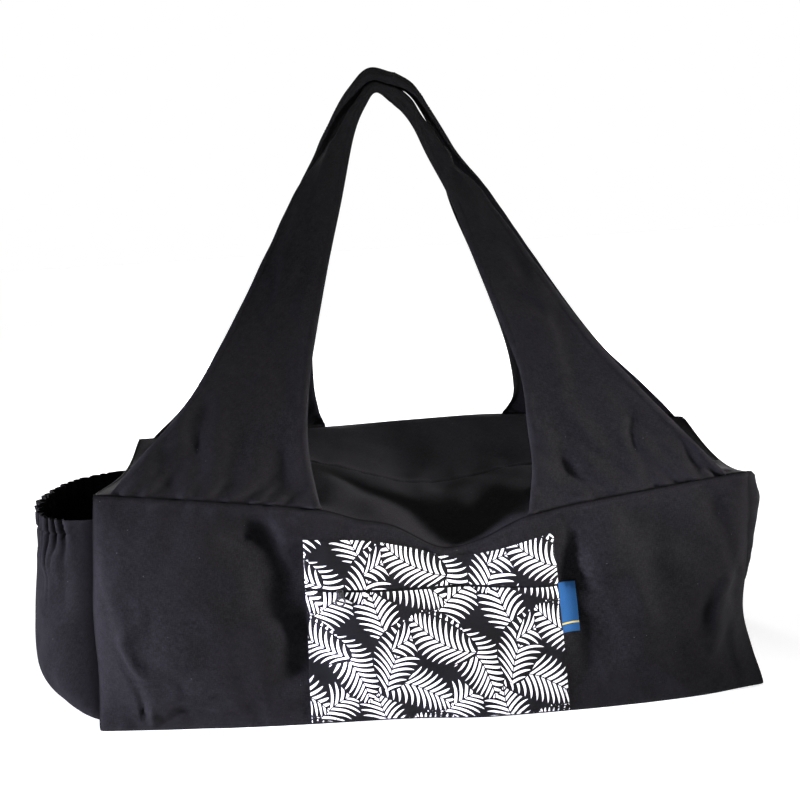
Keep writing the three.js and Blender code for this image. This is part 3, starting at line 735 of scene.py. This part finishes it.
class Value:
    """A number in a node tree; arithmetic on it adds nodes."""

    def __init__(self, tree, socket):
        self.tree = tree
        self.socket = socket

    def calc(self, operation, *others):
        node = add_node(self.tree, "Math", enumerate((self, *others)), operation=operation)
        return Value(self.tree, node.outputs[0])

    def __rsub__(self, other):
        return self * -1 + other

    __add__ = partialmethod(calc, "ADD")
    __sub__ = partialmethod(calc, "SUBTRACT")
    __mul__ = partialmethod(calc, "MULTIPLY")
    __truediv__ = partialmethod(calc, "DIVIDE")
    __pow__ = partialmethod(calc, "POWER")
    __abs__ = partialmethod(calc, "ABSOLUTE")
    __lt__ = partialmethod(calc, "LESS_THAN")
    __gt__ = partialmethod(calc, "GREATER_THAN")


def coordinates(tree, kind):
    return add_node(tree, "TexCoord").outputs[kind]


def axes(tree, vector):
    return [Value(tree, axis) for axis in add_node(tree, "SeparateXYZ", {"Vector": vector}).outputs]


def cloth_mark(tree, name):
    return Value(tree, add_node(tree, "Attribute", attribute_name=name).outputs["Fac"])


def noise(tree, vector, scale, detail, roughness=0.5):
    inputs = {"Vector": vector, "Scale": scale, "Detail": detail, "Roughness": roughness}
    return Value(tree, add_node(tree, "TexNoise", inputs).outputs["Fac"])


def map_range(value, span, **settings):
    node = add_node(value.tree, "MapRange", {"Value": value, **span}, **settings)
    return Value(value.tree, node.outputs[0])


def ramp(value, stops):
    node = add_node(value.tree, "ValToRGB", {"Fac": value})
    for element, (at, colour) in zip(node.color_ramp.elements, stops):
        element.position = at
        element.color = colour
    return node.outputs["Color"]


def mix_colour(share, a, b):
    return add_node(share.tree, "Mix", {0: share, 6: a, 7: b}, data_type="RGBA").outputs[2]


def slub(tree, uv, waves):
    """Uneven thread: noise drawn out along one direction of the cloth, in waves per metre."""
    drawn = add_node(tree, "Mapping", {"Vector": uv, "Scale": (*waves, 1.0)})
    return noise(tree, drawn.outputs[0], 1.0, 2.0)


def cloth_finish(tree, shader, uv, pitch, bump):
    """Matt cloth in plain weave, whose threads pass over and under each other; gives the weave's height."""
    u, v = ((axis * (2 * math.pi / (pitch * MM))).calc("SINE") for axis in axes(tree, uv)[:2])
    weave = u * v * 0.5 + 0.5
    height = noise(tree, uv, 900.0, 3.0) * 0.8 + weave
    relief = add_node(tree, "Bump", {"Height": height, "Strength": bump, "Distance": 0.0004})
    plug(tree, shader, {**MATT, "Normal": relief.outputs["Normal"]})
    return weave


def canvas_material():
    """Black canvas: uneven threads on a clouded ground, rubbed edges, a little lint, and painted shade along
    the sewn seams.
    """
    material, tree, shader = new_material("canvas_black")
    uv = coordinates(tree, "UV")
    weave = cloth_finish(tree, shader, uv, 1.1, 0.35)
    tone = ramp(noise(tree, uv, 9.0, 6.0, 0.6), [(0.3, CANVAS_LOW), (0.72, CANVAS_HIGH)])
    threads = slub(tree, uv, (1300, 260)) + slub(tree, uv, (260, 1300))
    fleck = noise(tree, uv, 150.0, 5.0, 0.7) * 0.7 + threads
    mottle = map_range(fleck, {"From Min": 1.15, "From Max": 1.75})
    thread = mix_colour(mottle * (weave * 0.5 + 0.25), tone, CANVAS_THREAD)
    worn = cloth_mark(tree, "wear") * noise(tree, uv, 120.0, 4.0) * 0.25
    rubbed = mix_colour(worn, thread, CANVAS_RUBBED)
    speck = add_node(tree, "TexVoronoi", {"Vector": uv, "Scale": 160.0})
    chosen = Value(tree, add_node(tree, "SeparateColor", {"Color": speck.outputs["Color"]}).outputs["Red"])
    lint = (Value(tree, speck.outputs["Distance"]) < 0.075) * (chosen > 0.95)
    colour = mix_colour(lint * 0.55, rubbed, LINT)
    # painted shade: the 'seam' mark darkens the colour along sewn edges
    plug(tree, shader, {"Base Color": mix_colour(cloth_mark(tree, "seam") * 0.9, colour, SEAM_SHADE)})
    return material


def print_material(name, shift):
    """Black cotton printed with white sprigs, whose lines bend a little."""
    material, tree, shader = new_material(name)
    uv = coordinates(tree, "UV")
    weave = cloth_finish(tree, shader, uv, 0.7, 0.2)
    moved = add_node(tree, "Mapping", {"Vector": uv, "Location": shift}).outputs[0]
    bend = add_node(tree, "TexNoise", {"Vector": moved, "Scale": 24.0, "Detail": 1.0})
    centred = {0: bend.outputs["Color"], 1: (0.5, 0.5, 0.5)}
    offset = add_node(tree, "VectorMath", centred, operation="SUBTRACT").outputs[0]
    stray = {0: offset, 1: (0.005, 0.005, 0), 2: moved}
    wavy = add_node(tree, "VectorMath", stray, operation="MULTIPLY_ADD").outputs[0]
    fibre = noise(tree, uv, 700.0, 2.0) * 0.25 + 0.82
    ink = (sprig_field(*axes(tree, wavy)[:2]) * fibre).calc("MINIMUM", 1.0)
    ground = mix_colour(weave * 0.3, PRINT_LOW, PRINT_HIGH)
    plug(tree, shader, {"Base Color": mix_colour(ink, ground, PRINT_WHITE)})
    return material


def wrapped(value, middle, repeat):
    """Distance from the nearest copy of a sprig's middle."""
    turns = value * (1 / (repeat * MM)) - middle / repeat
    return (turns - turns.calc("ROUND")) * repeat


def sprig(u, v, row):
    """One leafy sprig: where its leaflets are white, and where it covers the sprigs below it."""
    mid_u, mid_v, turn, length, half_width = row
    x, y = wrapped(u, mid_u, REPEAT[0]), wrapped(v, mid_v, REPEAT[1])
    cos, sin = math.cos(math.radians(turn)), math.sin(math.radians(turn))
    along = x * cos + y * sin
    share = along * (2 / length)
    squared = share * share
    away = abs(squared * (SPRIG_CURVE * length) + (y * cos - x * sin))
    limit = (1 - squared).calc("MAXIMUM", 0.0) ** SPRIG_TAPER * half_width
    out = away / limit.calc("MAXIMUM", 0.01)
    rise = away * away * LEAFLET_BOW - away * LEAFLET_RISE
    phase = ((along + rise) / LEAFLET_PITCH).calc("FRACT")
    taper = (1 - out * out).calc("MAXIMUM", 0.0)
    inside = taper**SPRIG_TAPER * LEAFLET_WIDTH - 0.02 - abs(phase - 0.5)
    edge = {"From Min": -INK_EDGE, "From Max": INK_EDGE}
    leaflet = map_range(inside, edge, interpolation_type="SMOOTHSTEP")
    return leaflet * (away > MIDRIB), out < SPRIG_COVER


def sprig_field(u, v):
    """The white of all sprigs, each laid over those before it."""
    ink = None
    for row in SPRIGS:
        leaf, cover = sprig(u, v, row)
        white = leaf * cover
        ink = white if ink is None else ink * (1 - cover) + white
    return ink


def label_material():
    material, tree, shader = new_material("label_woven")
    uv = coordinates(tree, "UV")
    weave = cloth_finish(tree, shader, uv, 0.8, 0.3)
    off = abs(axes(tree, uv)[1] - LABEL_MIDDLE * MM)
    stripe = off.calc("COMPARE", STRIPE_AT * MM, STRIPE_HALF * MM)
    colour = mix_colour(stripe * 0.85, mix_colour(weave, LABEL_LOW, LABEL_HIGH), LABEL_STRIPE)
    plug(tree, shader, {"Base Color": colour})
    return material


def fine_material(name, scale, detail, stops, surface):
    """Thread or metal: two tones in a fine noise."""
    material, tree, shader = new_material(name)
    mottle = noise(tree, coordinates(tree, "Object"), scale, detail)
    rough = map_range(mottle, dict(zip(("To Min", "To Max"), surface["Roughness"])))
    plug(tree, shader, {**surface, "Roughness": rough, "Base Color": ramp(mottle, stops)})
    return material


# Cloths, each with its material, slot and thickness, and the materials of the rest
CANVAS = (canvas_material(), "canvas", WALL)
PRINT = (print_material("print_pocket", (0.0, 0.0, 0.0)), "print", POCKET_WALL)
PRINT_BAND = (print_material("print_band", (0.023, 0.031, 0.0)), "print", POCKET_WALL)
LABEL = (label_material(), "label", LABEL_THICKNESS)
THREAD = fine_material("thread_black", 1500.0, 2.0, [(0.3, STITCH_LOW), (0.7, STITCH_HIGH)], STITCH_SURFACE)
METAL = fine_material("zip_metal", 600.0, 4.0, [(0.35, METAL_LOW), (0.75, METAL_HIGH)], METAL_SURFACE)

IN_FRONT = np.array([0.0, 1.0, 0.0])
IN_BACK = np.array([0.0, -1.0, 0.0])
DOWN = np.array([0.0, 0.0, -1.0])
UP = np.array([0.0, 0.0, 1.0])


def spread(low, high, pitch):
    """Columns from one place along the bag to another."""
    return np.linspace(low, high, max(int(round(abs(high - low) / pitch)), 2) + 1)[None, :]


def rows_between(low, high, pitch):
    """Rows of the body's lattice, close enough for a pitch in millimetres."""
    heights = np.interp([low, high], np.arange(TOP_ROW + 1), LOWER_ROWS + UPPER_ROWS)
    return np.linspace(low, high, max(int(round((heights[1] - heights[0]) / pitch)), 2) + 1)[:, None]


def wavy_folds(folds, x, z, seed):
    """Depth of folds whose lines bend a little, so that none runs straight."""
    moved = (at + FOLD_WAVER * field(x, z, FOLD_WAVE, seed + k, FEW_WAVES) for k, at in enumerate((x, z)))
    return fold_depth(folds, *moved)


def soft_grain(outer, uv, seed, reach=30):
    """Soft waves of a panel, which fade out at its edges."""
    return fade_at(outer, ALL_EDGES, reach) * grain_noise(uv[..., 0], uv[..., 1], seed)


def front_relief(points):
    """How far the front's cloth stands out from its main form; what is sewn on it follows."""
    x, z = points[..., 0], points[..., 2]
    top = front_top(x)
    end_gap = body_end(x, np.clip(z / top, 0, 1)) - np.abs(x)

    def fade(ends, base, above):
        return smooth(end_gap / ends) * smooth(z / base) * smooth((top - z) / above)

    off_slider = 1 - np.exp(-((x - SLIDER_X) ** 2 + (z - POCKET_ZIP_Z) ** 2) / SLIDER_FLAT**2)
    waves = fade(*WAVE_FADE) * off_slider * grain_noise(x, z, GRAIN_SEED)
    return waves - fade(*CREASE_FADE) * wavy_folds(FRONT_CREASES, x, z, 15)


def front_panel():
    columns = spread(-HALF_LENGTH, HALF_LENGTH, FRONT_PITCH)
    rows = np.union1d(rows_between(0, TOP_ROW, FRONT_PITCH), TOP_ROW - np.array(SEAM_ROWS))[:, None]
    outer = face_point(FRONT, columns, rows)
    uv = outer[..., [0, 2]]
    relief = front_relief(outer) + seam_relief(outer, ("bottom",), 100)
    relief = relief + seam_relief(outer, ("top",), 110, welt=0.6, gather=1.0, groove=2.4)
    relief = relief + seam_relief(outer, ("left", "right"), 120, welt=0.3, gather=1.0, groove=0.2)
    outer[..., 1] -= relief
    add_cloth("front_panel", outer, IN_FRONT, uv, ("top", "left", "right"), CANVAS)


def back_panel():
    columns = spread(-HALF_LENGTH, HALF_LENGTH, PANEL_PITCH)
    rows = rows_between(0, TOP_ROW, PANEL_PITCH)
    outer = face_point(BACK, columns, rows)
    uv = outer[..., [0, 2]]
    outer[..., 1] += soft_grain(outer, uv, 21) + seam_relief(outer, ALL_EDGES, 200)
    add_cloth("back_panel", outer, IN_BACK, uv, ALL_EDGES, CANVAS)


def end_panel(side, seed):
    depths = np.linspace(0, 1, END_COLUMNS)[None, :]
    depths, rows = np.broadcast_arrays(depths, rows_between(0, TOP_ROW, PANEL_PITCH))
    outer = end_point(side, depths, rows)
    uv = outer[..., [1, 2]]
    inward = np.array([-OUTWARD[side], 0.0, 0.0])
    relief = soft_grain(outer, uv, seed)
    if side == "left":
        relief = np.minimum(relief, 0)
    else:
        relief = relief + seam_relief(outer, ALL_EDGES, seed + 300)
    away = edge_distances(outer)
    near = np.minimum(away["left"], away["right"])
    relief = relief - CORNER_GROOVE * np.exp(-((near / CORNER_GROOVE_WIDTH) ** 2))
    outer = outer - inward * relief[..., None]
    add_cloth(f"end_panel_{side}", outer, inward, uv, ALL_EDGES, CANVAS)


def base_panel():
    end = HALF_LENGTH - WALL - EDGE_GAP
    x = spread(-end, end, BASE_PITCH)
    v = np.linspace(0, 1, BASE_ROWS)[:, None]
    flat = np.zeros(1)
    front = face_y(FRONT, x, flat) + WALL + EDGE_GAP
    back = face_y(BACK, x, flat) - WALL - EDGE_GAP
    outer = stack(x, lerp(front, back, v), flat)
    uv = outer[..., [0, 1]]
    dimple = DIMPLE * (1 + field(outer[..., 0], outer[..., 1], DIMPLE_WAVE, 41)) * fade_at(outer, ALL_EDGES)
    outer[..., 2] += np.clip(dimple, 0, DIMPLE_LIMIT)
    add_cloth("base_panel", outer, UP, uv, ALL_EDGES, CANVAS)


def top_panel(name, face, seed):
    zip_side = ZIP_Y + face["toward"] * GAP / 2
    v = np.linspace(0, 1, TOP_GRID[0])[:, None]
    u = np.linspace(0, 1, TOP_GRID[1])[None, :]
    straight = lerp(face["toward"] * HALF_DEPTH, zip_side, v)
    depth = (straight + HALF_DEPTH) / (2 * HALF_DEPTH)
    rim = np.full(depth.shape, float(TOP_ROW))
    left_rim = end_point("left", depth, rim)
    right_rim = end_point("right", depth, rim)
    left = left_rim[..., 0] + WALL + EDGE_GAP
    right = right_rim[..., 0] - WALL - EDGE_GAP
    x = lerp(left, right, u)
    edge_y = face_y(face, x, face["top"](x)) - face["toward"] * (WALL + EDGE_GAP)
    y = lerp(edge_y, zip_side, v)
    fade = np.sin(np.pi * v) * (1 - (x / HALF_LENGTH) ** TOP_FOLDS_TO_ENDS)
    z = lerp(face["top"](x), zip_top(x), smooth(v)) - fold_depth(TOP_FOLDS, x, y) * fade
    z = lerp(z, left_rim[..., 2], smooth(1 - (x - left) / TOP_DIP))
    z = lerp(z, right_rim[..., 2], smooth(1 - (right - x) / TOP_DIP))
    outer = stack(x, y, z)
    uv = outer[..., [0, 1]]
    outer[..., 2] += soft_grain(outer, uv, seed, reach=20) + seam_relief(outer, ("top",), seed + 400)
    add_cloth(name, outer, DOWN, uv, ALL_EDGES, CANVAS)


def folded_section(along, fold, bend):
    half = fold * bend / 2
    bent = np.clip(along, -half, half)
    straight = along - bent
    angle = fold / 2 + bent / bend
    out = bend * (np.sin(angle) - np.sin(fold / 2)) + straight * np.cos(angle)
    over = bend * (np.cos(fold / 2) - np.cos(angle)) + straight * np.sin(angle)
    return out, over, angle


def strap_leg(name, face, table, bend, seed):
    stations = np.arange(len(table), dtype=float)
    curves = [through(stations, column) for column in zip(*table)]
    over = -face["toward"]

    def section(station, v):
        x, y, z, half, tilt, fold = (curve(station) for curve in curves)
        tilt, fold = np.radians(tilt), np.radians(fold)
        round_bend = lerp(OPEN_BEND, bend, smooth(fold / CLOSED_FOLD))
        out, across, angle = folded_section(half * (1 - 2 * v), fold, round_bend)
        direction = stack(np.cos(tilt), 0 * tilt, np.sin(tilt))
        inward = -direction * np.sin(angle)[..., None]
        inward[..., 1] = over * np.cos(angle)
        point = direction * out[..., None] + stack(x, y + over * across, z)
        return point, inward

    rows, columns = STRAP_GRID
    v = np.linspace(0, 1, rows)[:, None]
    station, v = np.broadcast_arrays(np.linspace(0, len(table) - 1, columns)[None, :], v)
    point, inward = section(station, v)
    root, _ = section(np.zeros_like(v), v)
    foot_z = face["top"](root[..., 0])
    foot = stack(root[..., 0], face_y(face, root[..., 0], foot_z), foot_z + GAP)
    fade = smooth(station / PLEAT_START) * (1 - smooth((station - PLEAT_START) / (PLEAT_END - PLEAT_START)))
    pleat = sum(fade * depth * np.exp(-(((v - at) / width) ** 2)) for at, width, depth in FOOT_PLEATS)
    outer = point + (foot - root) * (1 - smooth(station))[..., None]
    run = lengths_along(outer, 1)
    wide = lengths_along(outer, 0)
    uv = np.stack([run, wide - wide.max(0) / 2], -1)
    lost, first, over_sections = STRAP_TAUT
    taut = 1 - lost * smooth((station - first) / over_sections)
    relief = STRAP_RELIEF * taut * fade_at(outer, ("left", "right"), 25) * grain_noise(run, wide, seed)
    relief = relief + seam_relief(outer, ("bottom", "top"), seed + 500, gather=0.3)
    relief = relief + seam_relief(outer, ("left",), seed + 540, welt=0.2, gather=3.0, groove=2.6)
    folds = wavy_folds(STRAP_FOLDS[name], outer[..., 0], outer[..., 2], seed)
    crease = smooth(station / FOOT_CREASES) * folds
    outer = outer + inward * (pleat + crease - relief)[..., None]
    add_cloth(name, outer, inward, uv, ("left",), CANVAS)


def pocket_cloth(row_low, row_high, stand_off, node, cloth, seed):
    columns = spread(POCKET_LEFT, POCKET_RIGHT, POCKET_PITCH)
    rows = rows_between(row_low, row_high, POCKET_PITCH)
    outer = face_point(FRONT, columns, rows)
    uv = outer[..., [0, 2]]
    columns, rows = np.broadcast_arrays(columns, rows)
    outer[..., 1] -= GAP + stand_off(columns, rows) + front_relief(outer)
    relief = seam_relief(outer, ALL_EDGES, seed)
    outer[..., 1] -= POCKET_WALL + np.maximum(relief, -POCKET_SINK)
    add_cloth(node, outer, IN_FRONT, uv, (), cloth)


def pocket_panel():
    def stand_off(column, row):
        across = (column - POCKET_LEFT) / (POCKET_RIGHT - POCKET_LEFT)
        height = np.interp(row, np.arange(ZIP_ROW + 1), LOWER_ROWS)
        up = (height - POCKET_BOTTOM) / (POCKET_ZIP_Z - POCKET_BOTTOM)
        return POCKET_PUFF * np.sin(np.pi * across) * np.sin(np.pi * up)

    top = ZIP_ROW - ZIP_SHOWN / (LOWER_ROWS[-1] - LOWER_ROWS[-2])
    pocket_cloth(1, top, stand_off, "pocket_panel", PRINT, 600)


def pocket_band():
    def stand_off(column, row):
        up = (row - ZIP_ROW) / (BAND_ROW - ZIP_ROW)
        return BAND_LIFT * (1 - smooth(up * 2))

    pocket_cloth(ZIP_ROW + 0.01, BAND_ROW, stand_off, "pocket_band", PRINT_BAND, 640)


def label_tab():
    columns = spread(POCKET_RIGHT + GAP, LABEL_RIGHT, LABEL_PITCH[0])
    rows = rows_between(LOWER_ROWS.index(LABEL_BOTTOM), ZIP_ROW, LABEL_PITCH[1])
    outer = face_point(FRONT, columns, rows)
    uv = outer[..., [0, 2]] - np.array([POCKET_RIGHT, LABEL_BOTTOM])
    free = smooth((columns - POCKET_RIGHT - LABEL_SEWN) / (LABEL_RIGHT - POCKET_RIGHT))
    curl = LABEL_CURL * free * (0.6 + 0.4 * np.sin(outer[..., 2] / LABEL_WAVE))
    outer[..., 1] -= GAP + LABEL_THICKNESS + front_relief(outer) + curl
    add_cloth("label_tab", outer, IN_FRONT, uv, (), LABEL)


def side_pocket():
    tall = SIDE_POCKET_RIM - SIDE_POCKET_BOTTOM
    shares = np.linspace(0, 1, SIDE_POCKET_COLUMNS)
    low_rows, rows = SIDE_POCKET_ROWS
    low_ups = np.linspace(0, SIDE_POCKET_FOOT, low_rows)[:-1]
    ups = np.concatenate([low_ups, np.linspace(SIDE_POCKET_FOOT, 1, rows)])
    heights = lerp(SIDE_POCKET_BOTTOM, SIDE_POCKET_RIM, ups)
    seat = np.stack([on_end_panel("left", lerp(*SIDE_POCKET_SEAMS, u), heights) for u in shares], axis=1)
    u, v = np.broadcast_arrays(shares[None, :], ups[:, None])
    arch = np.sin(np.pi * u)
    gathered = smooth((v - 1 + GATHER_SHARE) / GATHER_SHARE)
    ripple = GATHER_DEPTH * gathered * arch * np.cos(2 * np.pi * GATHERS * u)
    soft = (1 - 0.7 * gathered) * smooth(v * 8) * grain_noise(u * SIDE_POCKET_GIRTH, v * tall, 73)
    reach = SIDE_POCKET_REACH * side_pocket_swell(v) * np.maximum(arch, 0) ** SIDE_POCKET_ROUND
    inner = seat.copy()
    inner[..., 0] -= EDGE_GAP + ripple + reach
    out = normals_of(inner, np.array([1.0, 0.0, 0.0]))
    run = lengths_along(inner, 1)
    sewn = smooth(u / SIDE_POCKET_SEWN) * smooth((1 - u) / SIDE_POCKET_SEWN)
    wander = run + PLEAT_WANDER * field(run, v * tall, PLEAT_WAVES[0], 75, FEW_WAVES)
    valley = (1 - np.abs(np.sin(np.pi * wander / PLEAT_PITCH))) ** PLEAT_SHARP
    drop = (1 - v) * tall
    reach_down = PLEAT_REACH[0] + PLEAT_REACH[1] * field(run, 0 * run, PLEAT_WAVES[1], 77, FEW_WAVES)
    pleats = PLEAT_DEPTH * valley * np.exp(-((drop / np.maximum(reach_down, PLEAT_LEAST)) ** 2))
    casing = CASING_GROOVE * np.exp(-(((drop - ELASTIC_CASING) / CASING_WIDTH) ** 2))
    hem = HEM * (1 - smooth((drop - ELASTIC_CASING + HEM_FADE) / HEM_FADE))
    outer = inner + out * (WALL + hem + sewn * (np.minimum(2 * soft, 0) - pleats - casing))[..., None]
    uv = np.stack([run, lengths_along(inner, 0)], -1)
    add_cloth("side_pocket", outer, -out, uv, ("left", "right", "bottom"), CANVAS)


def zip_pull():
    """Slider body with a bridge, and a round ring that lies on the pocket below it."""
    low, high = (np.array(corner) / MM - BASE_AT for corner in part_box("zip_pull"))
    front, back, top = low[1], high[1], high[2]
    middle = (low[0] + high[0]) / 2
    points, faces = [], []

    def block(half, z0, z1, y0, y1, cut):
        """A box with cut corners, seen from the front."""
        x0, x1 = middle - half, middle + half
        outline = [(x0 + cut, z0), (x1 - cut, z0), (x1, z0 + cut), (x1, z1 - cut)]
        outline += [(x1 - cut, z1), (x0 + cut, z1), (x0, z1 - cut), (x0, z0 + cut)]
        x, z = (x0 + x1) / 2, (z0 + z1) / 2
        start = len(points)
        for y, share in ((y1, 1.0), (y0 + BEVEL, 1.0), (y0, BEVEL_SHARE)):
            points.extend([x + (a - x) * share, y, z + (b - z) * share] for a, b in outline)
        n = len(outline)
        index = start + np.arange(3 * n).reshape(3, n)
        faces.extend(quads(index, (0, 1)).tolist())
        faces.extend([index[0, ::-1].tolist(), index[2].tolist()])

    block(SLIDER_HALF, top - SLIDER_HEIGHT, top, front + SLIDER_BACK, back, SLIDER_CUT)
    low_end, high_end = (top - below for below in BRIDGE_SPAN)
    block(BRIDGE_HALF, low_end, high_end, front, front + BRIDGE_DEPTH, BRIDGE_CUT)
    ring_at = np.array([middle, front + RING_BACK, top - RING_DROP])
    index = len(points) + np.arange(RING_TURNS * RING_SIDES).reshape(RING_TURNS, RING_SIDES)
    a = 2 * np.pi * np.arange(RING_TURNS)[:, None] / RING_TURNS
    b = 2 * np.pi * np.arange(RING_SIDES) / RING_SIDES
    reach = RING_RADIUS + RING_WIRE * np.cos(b)
    y = RING_TILT * np.sin(a) * reach + RING_WIRE * np.sin(b)
    points.extend((ring_at + stack(np.cos(a) * reach, y, np.sin(a) * reach)).reshape(-1, 3))
    faces += quads(index, (1, 1)).tolist()
    piece = mesh_object("zip_pull_metal", np.array(points), faces, METAL)
    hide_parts("zip_pull")


def on_line(at, run, line):
    """The point of a line at a distance along it."""
    return np.stack([np.interp(at, run, line[:, k]) for k in range(3)], -1)


def inset_line(node, edge, inset):
    """The line on a cloth piece at a distance from one of its edges, with its outward directions."""
    outer, out = made[node]
    if edge in ("left", "right"):
        outer, out = outer.transpose(1, 0, 2), out.transpose(1, 0, 2)
    if edge in ("top", "right"):
        outer, out = outer[::-1], out[::-1]
    run = lengths_along(outer, 0)
    columns = range(outer.shape[1])
    return [np.array([on_line(inset, run[:, j], grid[:, j]) for j in columns]) for grid in (outer, out)]


def stitches(name, lines):
    """Thread lengths along lines, each two rings of points between two ends."""
    n = STITCH_SIDES
    turn = 2 * np.pi * np.arange(n)[:, None] / n
    points = []
    for line, face in lines:
        run = lengths_along(line[:, None], 0)[:, 0]
        at = np.arange(STITCH_PITCH, run[-1] - STITCH_PITCH, STITCH_PITCH)
        start, end = (on_line(at + s * STITCH_LENGTH / 2, run, line)[:, None] for s in (-1, 1))
        out = unit(on_line(at, run, face))[:, None]
        side = unit(np.cross(end - start, out))
        ring = STITCH_RADIUS * (side * np.cos(turn) + out * (np.sin(turn) + STITCH_LIFT))
        sink = out * STITCH_RADIUS * STITCH_SINK
        rings = [lerp(start, end, t) + ring for t in (0.25, 0.75)]
        points.append(np.concatenate([start - sink, *rings, end - sink], axis=1))
    points = np.concatenate(points)
    spindle = []
    for k in range(n):
        a, b = 1 + k, 1 + (k + 1) % n
        spindle += [[0, b, a], [a, b, b + n, a + n], [a + n, b + n, 1 + 2 * n]]
    firsts = np.arange(len(points)) * points.shape[1]
    faces = [[int(first) + corner for corner in face] for first in firsts for face in spindle]
    mesh_object(name, points.reshape(-1, 3), faces, THREAD)


front_panel()
back_panel()
base_panel()
end_panel("left", 31)
end_panel("right", 35)
top_panel("top_panel_front", FRONT, 43)
top_panel("top_panel_back", BACK, 47)
STRAPS = {
    "strap_front_left": (FRONT, FRONT_LEFT_LEG, FRONT_BEND, 51),
    "strap_front_right": (FRONT, FRONT_RIGHT_LEG, FRONT_BEND, 55),
    "strap_back_left": (BACK, BACK_LEFT_LEG, BACK_BEND, 59),
    "strap_back_right": (BACK, BACK_RIGHT_LEG, BACK_BEND, 63),
}
for name, leg in STRAPS.items():
    strap_leg(name, *leg)
pocket_panel()
pocket_band()
label_tab()
side_pocket()
zip_pull()

# Stitched lines: pieces, their edges, and how far from the edge
STITCHED = {
    "body_stitching": [
        (("front_panel", "back_panel"), ("top",), 3.5),
        (("top_panel_front", "top_panel_back"), ("top",), 5.0),
    ],
    "strap_stitching": [(STRAPS, ("bottom", "top"), 7.0)],
    "pocket_stitching": [
        (("pocket_panel",), ("left", "right", "bottom"), 3.0),
        (("pocket_band",), ("left", "right", "top"), 3.0),
        (("side_pocket",), ("top",), 14.0),
    ],
}
for name, rows in STITCHED.items():
    places = [(node, edge, inset) for nodes, edges, inset in rows for node in nodes for edge in edges]
    stitches(name, [inset_line(*place) for place in places])


# Stage
def pale_floor():
    mesh = bpy.data.meshes.new("floor")
    z = BASE_FACE["pos_m"][2] - FLOOR_DROP
    corners = [(x * FLOOR_SIZE, y * FLOOR_SIZE, z) for x, y in ((-1, -1), (1, -1), (1, 1), (-1, 1))]
    mesh.from_pydata(corners, [], [(0, 1, 2, 3)])
    floor = bpy.data.objects.new("floor", mesh)
    bpy.context.scene.collection.objects.link(floor)
    material, tree, shader = new_material("floor_pale")
    place = coordinates(tree, "Object")
    tone = ramp(noise(tree, place, 0.7, 2.0), [(0.3, FLOOR_LOW), (0.7, FLOOR_HIGH)])
    far = add_node(tree, "VectorMath", {0: place}, operation="LENGTH").outputs["Value"]
    glow = map_range(Value(tree, far), FLOOR_GLOW)
    surface = {"Base Color": tone, "Roughness": 0.8, "Emission Color": WHITE, "Emission Strength": glow}
    plug(tree, shader, surface)
    floor.data.materials.append(material)


def area_light(name, place, target, size, power, beam, colour):
    data = bpy.data.lights.new(name, "AREA")
    data.shape = "DISK"
    data.size = size
    data.energy = power
    data.color = colour
    data.spread = math.radians(beam)
    light = bpy.data.objects.new(name, data)
    light.location = place
    light.rotation_euler = (Vector(target) - Vector(place)).to_track_quat("-Z", "Y").to_euler()
    bpy.context.scene.collection.objects.link(light)


def studio_light():
    """White walls at the horizon, a dim ceiling, narrow lights from the front, and two behind."""
    world = bpy.data.worlds.new("studio")
    bpy.context.scene.world = world
    world.use_nodes = True
    tree = world.node_tree
    height = axes(tree, coordinates(tree, "Generated"))[2]
    glow = map_range(height, WORLD_GLOW)
    plug(tree, tree.nodes["Background"], {"Strength": glow, "Color": WHITE})
    for row in LIGHTS:
        area_light(*row)
    bpy.context.scene.view_settings.view_transform = "Standard"


def photo_camera():
    pitch, yaw, roll = (math.radians(a) for a in (CAMERA_PITCH, CAMERA_YAW, CAMERA_ROLL))
    level = Matrix(((1, 0, 0), (0, 0, -1), (0, 1, 0)))
    turned = Matrix.Rotation(roll, 3, "Z") @ Matrix.Rotation(pitch, 3, "X")
    view = turned @ level @ Matrix.Rotation(yaw, 3, "Z")
    data = bpy.data.cameras.new("camera")
    data.sensor_width = SENSOR
    data.lens = SENSOR * FOCAL_PIXELS / FRAME_PIXELS
    camera = bpy.data.objects.new("camera", data)
    facing = view.transposed() @ Matrix.Diagonal((1, -1, -1))
    camera.matrix_world = Matrix.Translation(Vector((np.array(CAMERA_AT) + BASE_AT) * MM)) @ facing.to_4x4()
    bpy.context.scene.collection.objects.link(camera)
    bpy.context.scene.camera = camera


pale_floor()
studio_light()
photo_camera()
